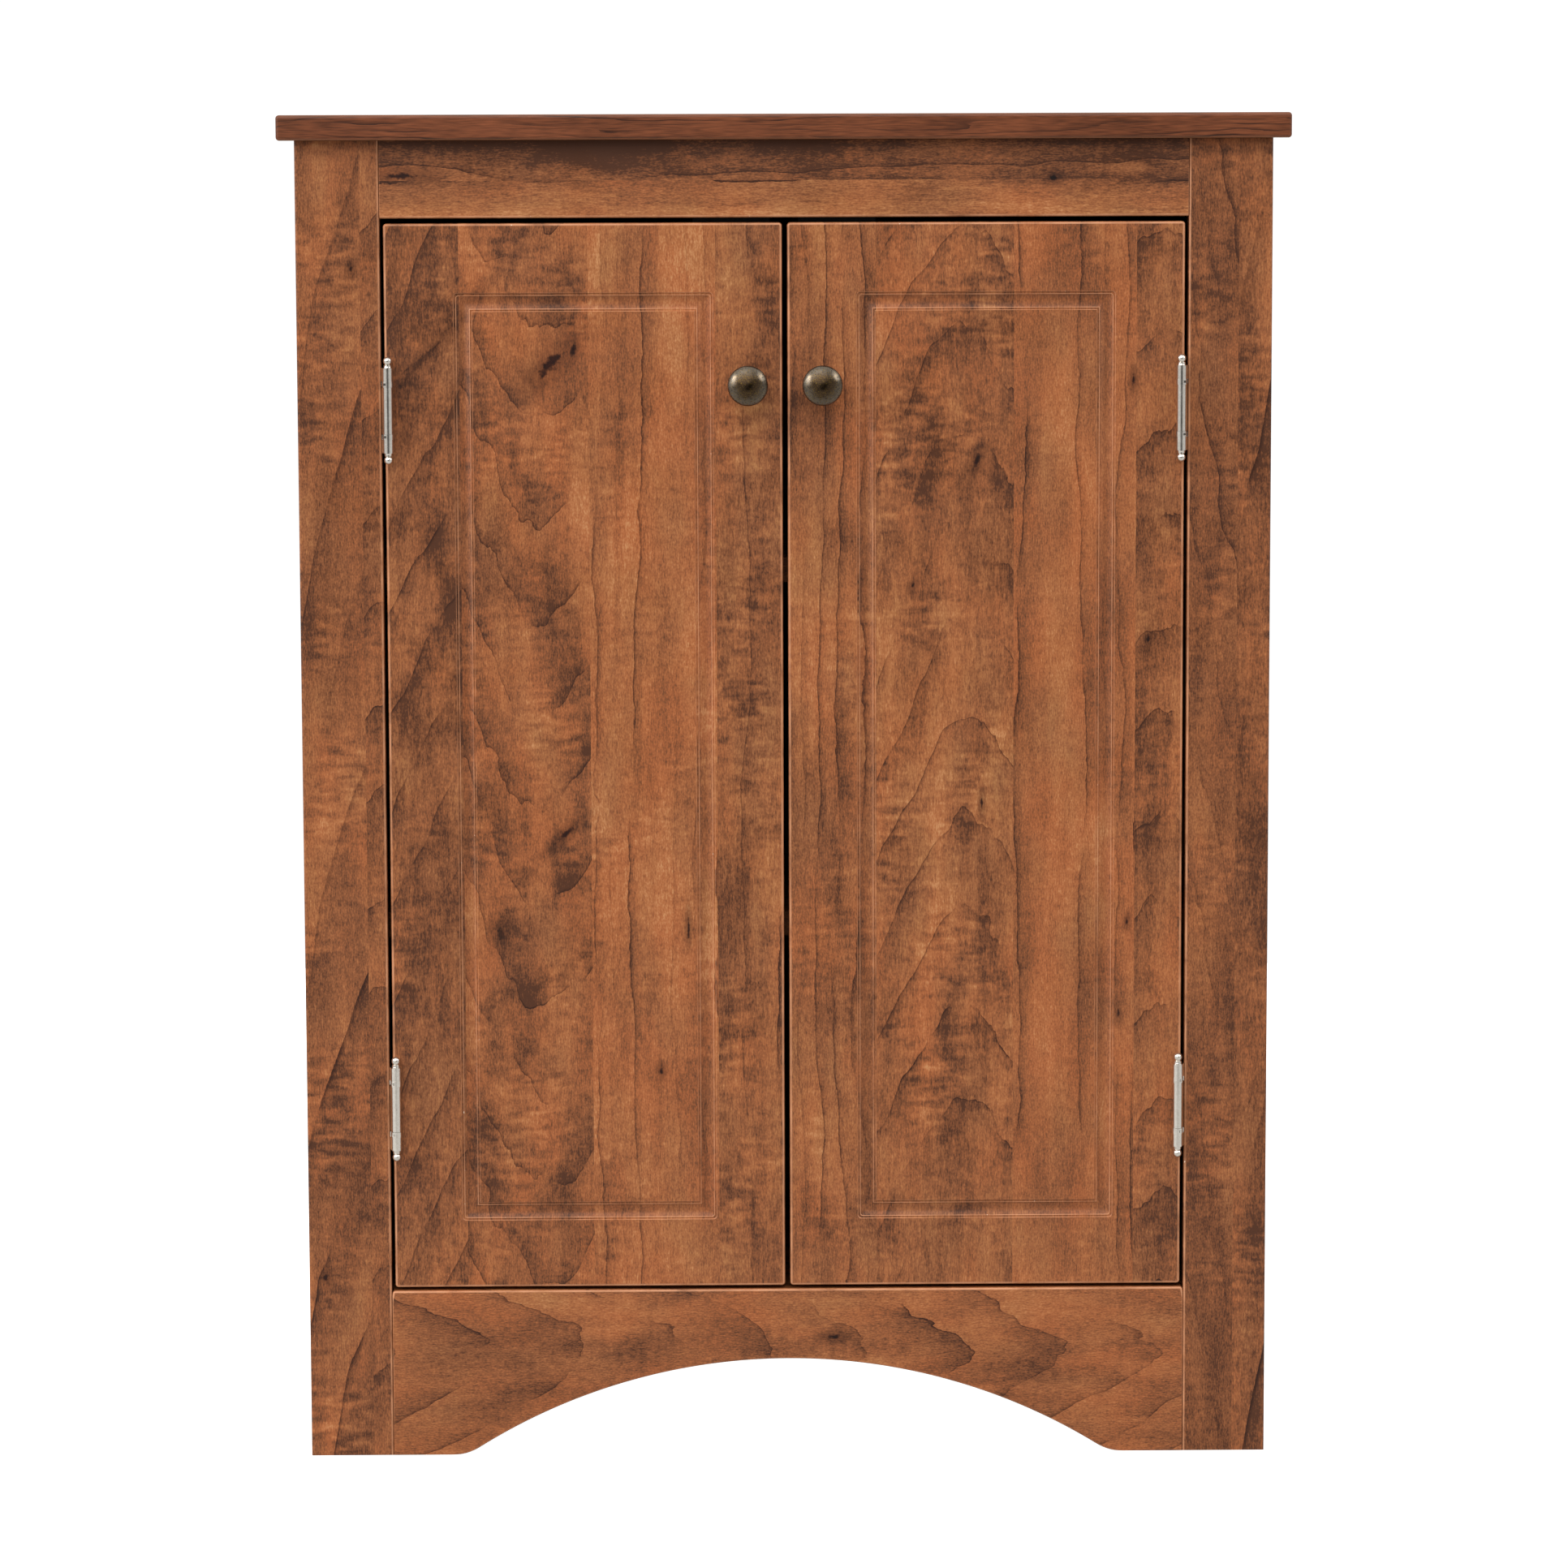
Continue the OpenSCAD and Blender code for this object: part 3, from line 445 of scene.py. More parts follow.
        # The width is in rings. The last bit keeps a line from having no width where the rings lie far apart.
        width = add(t, "ShaderNodeMath", [slope, self.line_width * MM], operation="MULTIPLY")
        width = add(t, "ShaderNodeMath", [width, 0.001], operation="ADD")
        core = add(t, "ShaderNodeMapRange", {0: phase, 2: width, 3: 1.0, 4: 0.0}, **SMOOTH)
        lines = add(t, "ShaderNodeMath", [core, strength], operation="MULTIPLY")
        beside = add(t, "ShaderNodeMapRange", {0: phase, 2: self.shade_reach, 3: 1.0, 4: 0.0})
        beside = add(t, "ShaderNodeMath", [beside, self.shade_fall], operation="POWER")
        shading = add(t, "ShaderNodeMath", [beside, strength], operation="MULTIPLY")
        return lines, shading

    def _clouds(self, t: Tree, ins: bpy.types.NodeOutputs, place: Socket) -> Socket:
        """Draws the dark smoky clouds, grainy at their edges.

        Args:
            t: The node tree.
            ins: The group's inputs.
            place: Place on the board in metres.

        Returns:
            0 outside the clouds to 1 in their middle.
        """
        large, grain = self.cloud.draw(t, place), self.cloud_grain.draw(t, place)
        mixed = add(t, "ShaderNodeMath", [grain, self.cloud_grain.share, large], operation="MULTIPLY_ADD")
        cloud = add(t, "ShaderNodeMapRange", [mixed, *self.cloud_edge], **SMOOTH)
        return add(t, "ShaderNodeMath", [cloud, ins["Smoke"]], operation="MULTIPLY")

    def _ripple(self, t: Tree, ins: bpy.types.NodeOutputs, place: Socket) -> Socket:
        """Draws the cross ripple of curly wood, which comes and goes in patches.

        Args:
            t: The node tree.
            ins: The group's inputs.
            place: Place on the board in metres.

        Returns:
            0.5 where there is none, more where it is pale and less where it is dark.
        """
        patch = self.ripple_patch.draw(t, place)
        patch = add(t, "ShaderNodeMapRange", [patch, *self.ripple_patch_edge, self.ripple_least], **SMOOTH)
        patch = add(t, "ShaderNodeMath", [patch, ins["Figure"]], operation="MULTIPLY")
        centred = add(t, "ShaderNodeMath", [self.ripple.draw(t, place), 0.5], operation="SUBTRACT")
        return add(t, "ShaderNodeMath", [centred, patch, 0.5], operation="MULTIPLY_ADD")


@dataclass(frozen=True)
class BoardPlace:
    """Where a board lies, so that its print starts at its own lower corner."""

    corner: Vector
    width: float
    lie: Lie

    @staticmethod
    def of(node: str, lie: Lie) -> "BoardPlace":
        """Reads the place of a packed board.

        Args:
            node: The board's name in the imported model.
            lie: How it lies.

        Returns:
            Its place.
        """
        low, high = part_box(node)
        across = lie.value[0]
        return BoardPlace(low, high[across] - low[across], lie)

    def coordinates(self, tree: Tree) -> tuple[Socket, Socket]:
        """Adds the nodes that unroll the board's faces, so that the print runs on round its edges.

        Args:
            tree: The material's node tree.

        Returns:
            Place across and along the grain, in metres.
        """
        source = tree.nodes.new("ShaderNodeTexCoord")
        place = add(tree, "ShaderNodeMapping", [source.outputs["Object"], -self.corner])
        turned = add(tree, "ShaderNodeVectorMath", [source.outputs["Normal"]], operation="ABSOLUTE")
        where = add(tree, "ShaderNodeSeparateXYZ", [place]).node.outputs
        facing = add(tree, "ShaderNodeSeparateXYZ", [turned]).node.outputs
        across, along, through = self.lie.value
        made = []
        for axis in (across, along):
            edge_on = add(tree, "ShaderNodeMath", [facing[axis], EDGE_ON], operation="GREATER_THAN")
            inputs = [edge_on, where[through], where[axis]]
            made.append(add(tree, "ShaderNodeMath", inputs, operation="MULTIPLY_ADD"))
        return made[0], made[1]


@dataclass(frozen=True)
class CherryFoil:
    """Thermoformed vinyl foil over fibreboard: a satin cherry print whose arrises are painted pale, partly as wear
    and partly as painted highlight, with painted shade in the door grooves.

    The foil gives soft, even highlights. Its print is flat, so only a faint emboss shows as relief. Lengths are in
    mm, and a knot's core and halo are in its own half sizes.
    """

    seed: float
    planks: tuple[Plank, ...]
    knots: tuple[Knot, ...] = ()
    # A negative fade darkens the board towards its far edge; on the top rail this is partly print, partly painted
    # shadow.
    fade: float = 0.0
    # First: pale arrises, partly wear and partly painted highlight. Third: painted shade in the door grooves.
    rub_and_highlight: str = "#c98e68"
    chip: str = "#e8cdb4"
    painted_shade: str = "#2e1a10"
    roughness: float = 0.44
    haze: Point = (-0.05, 0.07)
    haze_size: float = 35.0
    peel_size: float = 1.6
    peel_share: float = 0.6
    emboss: float = 0.15
    emboss_strength: float = 0.22
    rub_patch_size: float = 22.0
    rub_patch_edge: Point = (0.34, 0.60)
    rub_least: float = 0.30
    chip_size: float = 2.4
    chip_lift: float = 0.10
    chip_edge: Point = (0.815, 0.835)
    knot_rag_size: float = 4.0
    knot_rag: float = 1.9
    knot_core: Point = (0.25, 1.25)
    knot_halo: Point = (0.6, 3.4)
    halo_share: float = 0.46
    pull_reach: float = 5.0
    pull: float = 0.55

    def material(self, name: str, place: BoardPlace) -> bpy.types.Material:
        """Makes the finish for one board.

        Args:
            name: Name of the material.
            place: Where the board lies.

        Returns:
            The material.
        """
        made, t, shader = new_material(name)
        across, along = place.coordinates(t)
        knot, bend = self._knots(t, across, along)
        share = add(t, "ShaderNodeMath", [across, 1 / place.width], operation="MULTIPLY")
        starts = [plank.start * MM / place.width for plank in self.planks]
        count = len(self.planks)
        # Each plank's numbers are told by ramps across the board, three to a ramp and each from 0 to 1.
        bands = (
            [(p.tone + 0.5, p.red, (p.arch + 1) / 2) for p in self.planks],
            [(p.crown * MM / place.width, p.smoke, p.figure) for p in self.planks],
            [((i + 1) / count, 0, 0) for i in range(count)],
        )
        told: list[Socket] = []
        for values in bands:
            ramp = stops(add(t, "ShaderNodeValToRGB", [share]), list(zip(starts, values)), steps=True)
            told += list(add(t, "ShaderNodeSeparateColor", [ramp]).node.outputs)
        light, red, arch, crown, smoke, figure, number, *_ = told
        # Tone change across the width: on the top rail partly print and partly painted shadow under the top's
        # overhang.
        tone = add(t, "ShaderNodeMath", [share, self.fade, -self.fade / 2], operation="MULTIPLY_ADD")
        tone = add(t, "ShaderNodeMath", [light, tone], operation="ADD")
        tone = add(t, "ShaderNodeMath", [tone, 0.5], operation="SUBTRACT")
        wires = {
            "Across": across,
            "Along": along,
            "Seed": add(t, "ShaderNodeMath", [number, float(count), self.seed], operation="MULTIPLY_ADD"),
            "Tone": tone,
            "Red": red,
            "Arch": add(t, "ShaderNodeMath", [arch, 2.0, -1.0], operation="MULTIPLY_ADD"),
            "Crown": add(t, "ShaderNodeMath", [crown, place.width], operation="MULTIPLY"),
            "Smoke": smoke,
            "Figure": figure,
            "Knot": knot,
            "Bend": bend,
        }
        drawn = t.nodes.new("ShaderNodeGroup")
        drawn.node_tree = CherryPrint().group()
        for label, socket in wires.items():
            t.links.new(socket, drawn.inputs[label])
        self._rub_and_paint_light(t, shader, drawn.outputs["Color"], drawn.outputs["Height"])
        return made

    def _knots(self, t: Tree, across: Socket, along: Socket) -> tuple[Socket, Socket]:
        """Draws the knots and streaks, and works out how far the grain bends round them.

        Args:
            t: The material's node tree.
            across: Place across the grain.
            along: Place along the grain.

        Returns:
            How dark the knots are, and the bend of the grain in metres.
        """
        dark, bend = add(t, "ShaderNodeValue"), add(t, "ShaderNodeValue")
        dark.default_value = bend.default_value = 0
        place = add(t, "ShaderNodeCombineXYZ", [across, along])
        inputs = {"Vector": place, "Scale": per(self.knot_rag_size), "Detail": 3.0}
        ragged = add(t, "ShaderNodeTexNoise", inputs)
        ragged = add(t, "ShaderNodeMath", [ragged, 0.5], operation="SUBTRACT")
        for knot in self.knots:
            du = add(t, "ShaderNodeMath", [across, knot.across * MM], operation="SUBTRACT")
            dv = add(t, "ShaderNodeMath", [along, knot.along * MM], operation="SUBTRACT")
            leant = add(t, "ShaderNodeMath", [dv, -knot.lean, du], operation="MULTIPLY_ADD")
            wide = add(t, "ShaderNodeMath", [leant, per(knot.half_width)], operation="MULTIPLY")
            long = add(t, "ShaderNodeMath", [dv, per(knot.half_length)], operation="MULTIPLY")
            both = add(t, "ShaderNodeCombineXYZ", [wide, long])
            far = add(t, "ShaderNodeVectorMath", [both], out="Value", operation="LENGTH")
            rough = add(t, "ShaderNodeMath", [ragged, self.knot_rag, far], operation="MULTIPLY_ADD")
            core = add(t, "ShaderNodeMapRange", [rough, *self.knot_core, knot.depth, 0.0], **SMOOTH)
            inputs = [rough, *self.knot_halo, self.halo_share * knot.depth, 0.0]
            halo = add(t, "ShaderNodeMapRange", inputs, **SMOOTH)
            both = add(t, "ShaderNodeMath", [core, halo], operation="MAXIMUM")
            dark = add(t, "ShaderNodeMath", [dark, both], operation="MAXIMUM")
            pull = add(t, "ShaderNodeMapRange", [far, 0.0, self.pull_reach, -self.pull, 0.0], **SMOOTH)
            bend = add(t, "ShaderNodeMath", [du, pull, bend], operation="MULTIPLY_ADD")
        return dark, bend

    def _rub_and_paint_light(self, t: Tree, shader: bpy.types.Node, colour: Socket, height: Socket) -> None:
        """Paints the arrises pale, partly as wear and partly as painted highlight, adds painted shade in the door
        grooves, adds chips, roughness and emboss, and links all of it to the shader.

        Args:
            t: The material's node tree.
            shader: The board's shader.
            colour: The print's colour.
            height: The print's relief.
        """
        source = t.nodes.new("ShaderNodeTexCoord").outputs["Object"]
        sizes = ((self.rub_patch_size, 4.0), (self.chip_size, 2.0), (self.haze_size, 3.0), (self.peel_size, 1.0))
        patchy, chips, haze, peel = (
            add(t, "ShaderNodeTexNoise", {"Vector": source, "Scale": per(size), "Detail": detail})
            for size, detail in sizes
        )
        worn = add(t, "ShaderNodeAttribute", out="Fac", attribute_name=WEAR_AND_LIGHT)
        patchy = add(t, "ShaderNodeMapRange", [patchy, *self.rub_patch_edge, self.rub_least, 1.0])
        # Pale arrises: partly wear, partly painted highlight. A negative attribute is painted shade in the door
        # grooves.
        rub_and_highlight_mask = add(t, "ShaderNodeMath", [worn, patchy], operation="MULTIPLY", use_clamp=True)
        painted_shade = add(t, "ShaderNodeMath", [worn, -1.0], operation="MULTIPLY", use_clamp=True)
        chips = add(t, "ShaderNodeMath", [worn, self.chip_lift, chips], operation="MULTIPLY_ADD")
        chips = add(t, "ShaderNodeMapRange", [chips, *self.chip_edge])
        for amount, ink in ((rub_and_highlight_mask, self.rub_and_highlight), (painted_shade, self.painted_shade), (chips, self.chip)):
            colour = add(t, "ShaderNodeMix", {0: amount, 6: colour, 7: linear(ink)}, **BLEND)
        t.links.new(colour, shader.inputs["Base Color"])
        low, high = (self.roughness + change for change in self.haze)
        gloss = add(t, "ShaderNodeMapRange", [haze, *NOISE_REACH, low, high])
        t.links.new(gloss, shader.inputs["Roughness"])
        relief = add(t, "ShaderNodeMath", [peel, self.peel_share, height], operation="MULTIPLY_ADD")
        inputs = {"Strength": self.emboss_strength, "Distance": self.emboss * MM, "Height": relief}
        bump = add(t, "ShaderNodeBump", inputs)
        t.links.new(bump, shader.inputs["Normal"])
        shader.inputs["IOR"].default_value = 1.46
        shader.inputs["Specular IOR Level"].default_value = 0.3


@dataclass(frozen=True)
class TopLaminate:
    """Melamine laminate for the top: darker than the foil, with fine open grain that runs along the width.

    It gives a dull, even sheen, a little tighter than the foil's. Lengths are in mm.
    """

    body: str = "#6f3d24"
    light: str = "#83492c"
    dark: str = "#4d2917"
    line: str = "#200f08"
    rub_and_highlight: str = "#a5714f"
    line_gap: float = 3.4
    line_width: float = 0.45
    line_fade: Point = (0.38, 0.60)
    slow: Mottle = Mottle(30, 260, 2, 34.0)
    medium: Mottle = Mottle(9, 70, 3, 7.0)
    fine: Mottle = Mottle(1.6, 22, 3, 1.1)
    fibre: Mottle = Mottle(0.8, 12, 1, 0.75)
    cloud: Mottle = Mottle(40, 90, 3, 0.8)
    tone_base: float = -0.32
    line_ink: float = 1.3
    rub_and_highlight_share: float = 0.5
    roughness: float = 0.40
    emboss: float = 0.15
    line_relief: float = -0.8

    def material(self, name: str, place: BoardPlace) -> bpy.types.Material:
        """Makes the finish.

        Args:
            name: Name of the material.
            place: Where the board lies.

        Returns:
            The material.
        """
        made, t, shader = new_material(name)
        across, along = place.coordinates(t)
        spot = add(t, "ShaderNodeCombineXYZ", [across, along])
        medium, fibre, cloud = (mottle.draw(t, spot) for mottle in (self.medium, self.fibre, self.cloud))
        bends = ((self.slow.draw(t, spot), self.slow), (medium, self.medium), (self.fine.draw(t, spot), self.fine))
        for part, mottle in bends:
            across = add(t, "ShaderNodeMath", [part, mottle.share * MM, across], operation="MULTIPLY_ADD")
        ring = add(t, "ShaderNodeMath", [across, per(self.line_gap)], operation="MULTIPLY")
        number = add(t, "ShaderNodeMath", [ring], operation="FLOOR")
        phase = add(t, "ShaderNodeMath", [ring], operation="FRACT")
        each = add(t, "ShaderNodeTexWhiteNoise", {"W": number}, noise_dimensions="1D")
        fade = add(t, "ShaderNodeMapRange", [medium, *self.line_fade], **SMOOTH)
        core = add(t, "ShaderNodeMapRange", {0: phase, 2: self.line_width, 3: 1.0, 4: 0.0}, **SMOOTH)
        lines = add(t, "ShaderNodeMath", [core, each], operation="MULTIPLY")
        lines = add(t, "ShaderNodeMath", [lines, fade], operation="MULTIPLY")
        tone = add(t, "ShaderNodeMath", [fibre, self.fibre.share, self.tone_base], operation="MULTIPLY_ADD")
        tone = add(t, "ShaderNodeMath", [cloud, self.cloud.share, tone], operation="MULTIPLY_ADD")
        ramp = add(t, "ShaderNodeValToRGB", [tone])
        colour = stops(ramp, [(0.2, linear(self.dark)), (0.5, linear(self.body)), (0.75, linear(self.light))])
        inked = add(t, "ShaderNodeMath", [lines, self.line_ink], operation="MULTIPLY", use_clamp=True)
        worn = add(t, "ShaderNodeAttribute", out="Fac", attribute_name=WEAR_AND_LIGHT)
        # The pale arrises are partly wear and partly painted highlight.
        rub_and_highlight_mask = add(t, "ShaderNodeMath", [worn, self.rub_and_highlight_share], operation="MULTIPLY")
        for amount, ink in ((inked, self.line), (rub_and_highlight_mask, self.rub_and_highlight)):
            colour = add(t, "ShaderNodeMix", {0: amount, 6: colour, 7: linear(ink)}, **BLEND)
        t.links.new(colour, shader.inputs["Base Color"])
        relief = add(t, "ShaderNodeMath", [lines, self.line_relief, fibre], operation="MULTIPLY_ADD")
        bump = add(t, "ShaderNodeBump", {"Strength": 0.25, "Distance": self.emboss * MM, "Height": relief})
        t.links.new(bump, shader.inputs["Normal"])
        gloss = add(t, "ShaderNodeMapRange", [cloud, *NOISE_REACH, self.roughness - 0.05, self.roughness])
        t.links.new(gloss, shader.inputs["Roughness"])
        shader.inputs["IOR"].default_value = 1.48
        shader.inputs["Specular IOR Level"].default_value = 0.3
        return made


# ---------------------------------------------------------------- metal, plastic and raw board


class Pattern(Enum):
    """How the second colour of a plain finish is spread."""

    CLOUDED = "clouded"
    SPECKLED = "speckled"
    FIBROUS = "fibrous"


FIBRE_STRETCH = 9.0  # how much longer than wide a fibre is
SPECK_EDGE: Point = (0.58, 0.66)
CLOUD_EDGE: Point = (0.30, 0.72)


@dataclass(frozen=True)
class PlainFinish:
    """A finish of one material whose colour varies a little, such as plate, cast plastic or raw hardboard.

    Args:
        body: Its colour.
        mottle: The second colour.
        pattern: How the second colour is spread.
        grain_mm: Size of one patch of it.
        share: How strong it is.
        roughness: The middle of its roughness.
        spread: How far its roughness goes up and down from there.
        metallic: 1 for a metal.
        bump_mm: Height of its relief.
        ior: Its index of refraction, where it isn't a metal.
    """

    body: str
    mottle: str
    pattern: Pattern
    grain_mm: float
    share: float
    roughness: float
    spread: float
    metallic: float = 0.0
    bump_mm: float = 0.02
    ior: float | None = None

    def material(self, name: str) -> bpy.types.Material:
        """Makes the finish.

        Args:
            name: Name of the material.

        Returns:
            The material.
        """
        made, t, shader = new_material(name)
        source = t.nodes.new("ShaderNodeTexCoord").outputs["Object"]
        long = FIBRE_STRETCH if self.pattern is Pattern.FIBROUS else 1.0
        sizes = (per(self.grain_mm * long), per(self.grain_mm), per(self.grain_mm))
        scaled = add(t, "ShaderNodeVectorMath", [source, sizes], operation="MULTIPLY")
        grain = add(t, "ShaderNodeTexNoise", {"Vector": scaled, "Scale": 1.0, "Detail": 3.0})
        edge = SPECK_EDGE if self.pattern is Pattern.SPECKLED else CLOUD_EDGE
        amount = add(t, "ShaderNodeMapRange", [grain, *edge, 0.0, self.share])
        colour = add(t, "ShaderNodeMix", {0: amount, 6: linear(self.body), 7: linear(self.mottle)}, **BLEND)
        t.links.new(colour, shader.inputs["Base Color"])
        haze = add(t, "ShaderNodeTexNoise", {"Vector": source, "Scale": per(self.grain_mm * 6), "Detail": 2.0})
        low, high = self.roughness - self.spread, self.roughness + self.spread
        gloss = add(t, "ShaderNodeMapRange", [haze, *NOISE_REACH, low, high])
        t.links.new(gloss, shader.inputs["Roughness"])
        bump = add(t, "ShaderNodeBump", {"Strength": 0.5, "Distance": self.bump_mm * MM, "Height": grain})
        t.links.new(bump, shader.inputs["Normal"])
        shader.inputs["Metallic"].default_value = self.metallic
        if self.ior is not None:
            shader.inputs["IOR"].default_value = self.ior
        return made


@dataclass(frozen=True)
class AntiqueBronze:
    """Cast zinc with an antique bronze plate, flecked, black-brown in the middle and greyer towards the rim: partly
    the plate's own tone and partly a painted reflection of the dim space in front.

    It gives a sharp bright spot on the dome that the oil dulls in places. Lengths are in mm, and the zone from the
    middle's colour to the rim's is in knob radii.
    """

    # The middle's dark colour and the rim's grey are partly the plate's tone and partly painted reflection.
    centre: str = "#48392a"
    rim: str = "#766e63"
    fleck: str = "#86692f"
    soot: str = "#241d16"
    roughness: float = 0.24
    dullest: float = 0.42
    cloud_size: float = 5.0
    zone: Point = (0.6, 1.3)
    soot_size: float = 0.9
    soot_edge: Point = (0.52, 0.80)
    fleck_size: float = 0.6
    fleck_edge: Point = (0.56, 0.76)
    pitting: float = 0.05

    def material(self, name: str, node: str) -> bpy.types.Material:
        """Makes the finish for one knob.

        Args:
            name: Name of the material.
            node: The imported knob, whose axis the shading goes round.

        Returns:
            The material.
        """
        made, t, shader = new_material(name)
        low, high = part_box(node)
        middle = Vector(((low.x + high.x) / 2, 0, (low.z + high.z) / 2))
        source = t.nodes.new("ShaderNodeTexCoord").outputs["Object"]
        place = add(t, "ShaderNodeMapping", [source, -middle])
        flat = add(t, "ShaderNodeVectorMath", [place, (1, 0, 1)], operation="MULTIPLY")
        far = add(t, "ShaderNodeVectorMath", [flat], out="Value", operation="LENGTH")
        cloud = add(t, "ShaderNodeTexNoise", {"Vector": place, "Scale": per(self.cloud_size), "Detail": 3.0})
        far = add(t, "ShaderNodeMath", [cloud, self.cloud_size * MM, far], operation="MULTIPLY_ADD")
        outer = (high.x - low.x) / 2
        # Dark middle to grey rim: partly the plate's tone, partly painted reflection of the dim space in front.
        zone = add(t, "ShaderNodeMapRange", [far, *(outer * at for at in self.zone)], **SMOOTH)
        colour = add(t, "ShaderNodeMix", {0: zone, 6: linear(self.centre), 7: linear(self.rim)}, **BLEND)
        specks = ((self.soot, self.soot_size, self.soot_edge), (self.fleck, self.fleck_size, self.fleck_edge))
        for ink, size, edge in specks:
            flecks = add(t, "ShaderNodeTexNoise", {"Vector": place, "Scale": per(size), "Detail": 2.0})
            flecks = add(t, "ShaderNodeMapRange", [flecks, *edge])
            colour = add(t, "ShaderNodeMix", {0: flecks, 6: colour, 7: linear(ink)}, **BLEND)
        t.links.new(colour, shader.inputs["Base Color"])
        gloss = add(t, "ShaderNodeMapRange", [cloud, *NOISE_REACH, self.roughness - 0.06, self.dullest])
        t.links.new(gloss, shader.inputs["Roughness"])
        shader.inputs["Metallic"].default_value = 1.0
        bump = add(t, "ShaderNodeBump", {"Strength": 0.35, "Distance": self.pitting * MM, "Height": cloud})
        t.links.new(bump, shader.inputs["Normal"])
        return made


# Polished steel with bright nickel plate: a warm white mirror, a little hazy from handling.
BRIGHT_NICKEL = PlainFinish(
    "#ebe4da",
    "#cfc8bd",
    Pattern.CLOUDED,
    grain_mm=1.2,
    share=0.6,
    roughness=0.20,
    spread=0.04,
    metallic=1.0,
    bump_mm=0.004,
)

# Steel with a clear zinc plate: a dull blue-grey metal whose sheen is cloudy.
ZINC_STEEL = PlainFinish(
    "#b9bcc0", "#8f9298", Pattern.CLOUDED, grain_mm=2.0, share=0.9, roughness=0.34, spread=0.08, metallic=1.0
)

# Injection-moulded nylon or ABS, black all through: a soft grey sheen on a nearly black body.
BLACK_PLASTIC = PlainFinish(
    "#121212", "#1d1d1d", Pattern.CLOUDED, grain_mm=0.8, share=1.0, roughness=0.45, spread=0.08, ior=1.49
)

# Sintered ferrite of a catch's magnet: matt charcoal, speckled by its grain.
FERRITE = PlainFinish(
    "#2a2b2c", "#1c1c1d", Pattern.SPECKLED, grain_mm=0.5, share=1.0, roughness=0.62, spread=0.08, ior=1.6
)

# Pressed wood-fibre hardboard, unpainted: matt brown with dark flecks of bark.
HARDBOARD = PlainFinish(
    "#7a5a3e",
    "#5d432e",
    Pattern.SPECKLED,
    grain_mm=1.3,
    share=0.75,
    roughness=0.62,
    spread=0.08,
    bump_mm=0.08,
    ior=1.5,
)

# Raw turned beech of the dowels: pale, matt and finely streaked.
BEECH = PlainFinish(
    "#cba878",
    "#a98354",
    Pattern.FIBROUS,
    grain_mm=0.7,
    share=0.9,
    roughness=0.6,
    spread=0.05,
    bump_mm=0.05,
    ior=1.5,
)

# Matt white acrylic floor of the studio: even and pale, with no pattern that shows.
PALE_FLOOR = PlainFinish(
    "#b6b6b4",
    "#b1b1af",
    Pattern.CLOUDED,
    grain_mm=300.0,
    share=1.0,
    roughness=0.6,
    spread=0.02,
    bump_mm=0.0,
    ior=1.45,
)


# ---------------------------------------------------------------- meshes


def skin(name: str, rings: Sequence[Sequence[Vector]], worn: Sequence[float | list[float]]) -> bpy.types.Object:
    """Skins a stack of rings into a closed, smooth-shaded mesh that remembers its wear, painted highlight and
    painted shade.

    Args:
        name: Name of the object.
        rings: Rings of equally many points, in order from one closed end to the other.
        worn: How pale each ring is painted, or each of its points: up to 1 for wear and painted highlight,
        below 0 for painted shade.

    Returns:
        The new object.
    """
    bm = bmesh.new()
    layer = bm.verts.layers.float.new(WEAR_AND_LIGHT)
    rows = []
    for ring, amount in zip(rings, worn):
        row = [bm.verts.new(p) for p in ring]
        for vert, share in zip(row, amount if isinstance(amount, list) else [amount] * len(row)):
            vert[layer] = share
        rows.append(row)
    for lower, upper in zip(rows, rows[1:]):
        for i, vert in enumerate(lower):
            j = (i + 1) % len(lower)
            bm.faces.new((vert, lower[j], upper[j], upper[i]))
    bm.faces.new(rows[0])
    bm.faces.new(rows[-1])
    bmesh.ops.remove_doubles(bm, verts=bm.verts, dist=MERGE)
    bmesh.ops.dissolve_degenerate(bm, edges=bm.edges, dist=MERGE)
    bmesh.ops.recalc_face_normals(bm, faces=bm.faces)
    for face in bm.faces:
        face.smooth = True
    for edge in bm.edges:
        edge.smooth = len(edge.link_faces) < 2 or edge.calc_face_angle(0) < SHARPEST_SMOOTH
    mesh = bpy.data.meshes.new(name)
    bm.to_mesh(mesh)
    bm.free()
    return new_object(name, mesh)


def inset(outline: Sequence[Point], distances: Sequence[float]) -> list[Point]:
    """Moves each edge of an anticlockwise outline inwards.

    Args:
        outline: Corner points.
        distances: How far the edge that starts at each point moves.

    Returns:
        The new corner points.
    """
    made = []
    for i, (x, z) in enumerate(outline):
        before, after = outline[i - 1], outline[(i + 1) % len(outline)]
        into = Vector((x - before[0], z - before[1])).normalized()
        onto = Vector((after[0] - x, after[1] - z)).normalized()
        near, far = distances[i - 1], distances[i]
        turn = into.x * onto.y - into.y * onto.x
        if abs(turn) < 1e-4:
            move = Vector((-onto.y, onto.x)) * far
        else:
            move = (onto * near - into * far) / turn
        made.append((x + move.x, z + move.y))
    return made


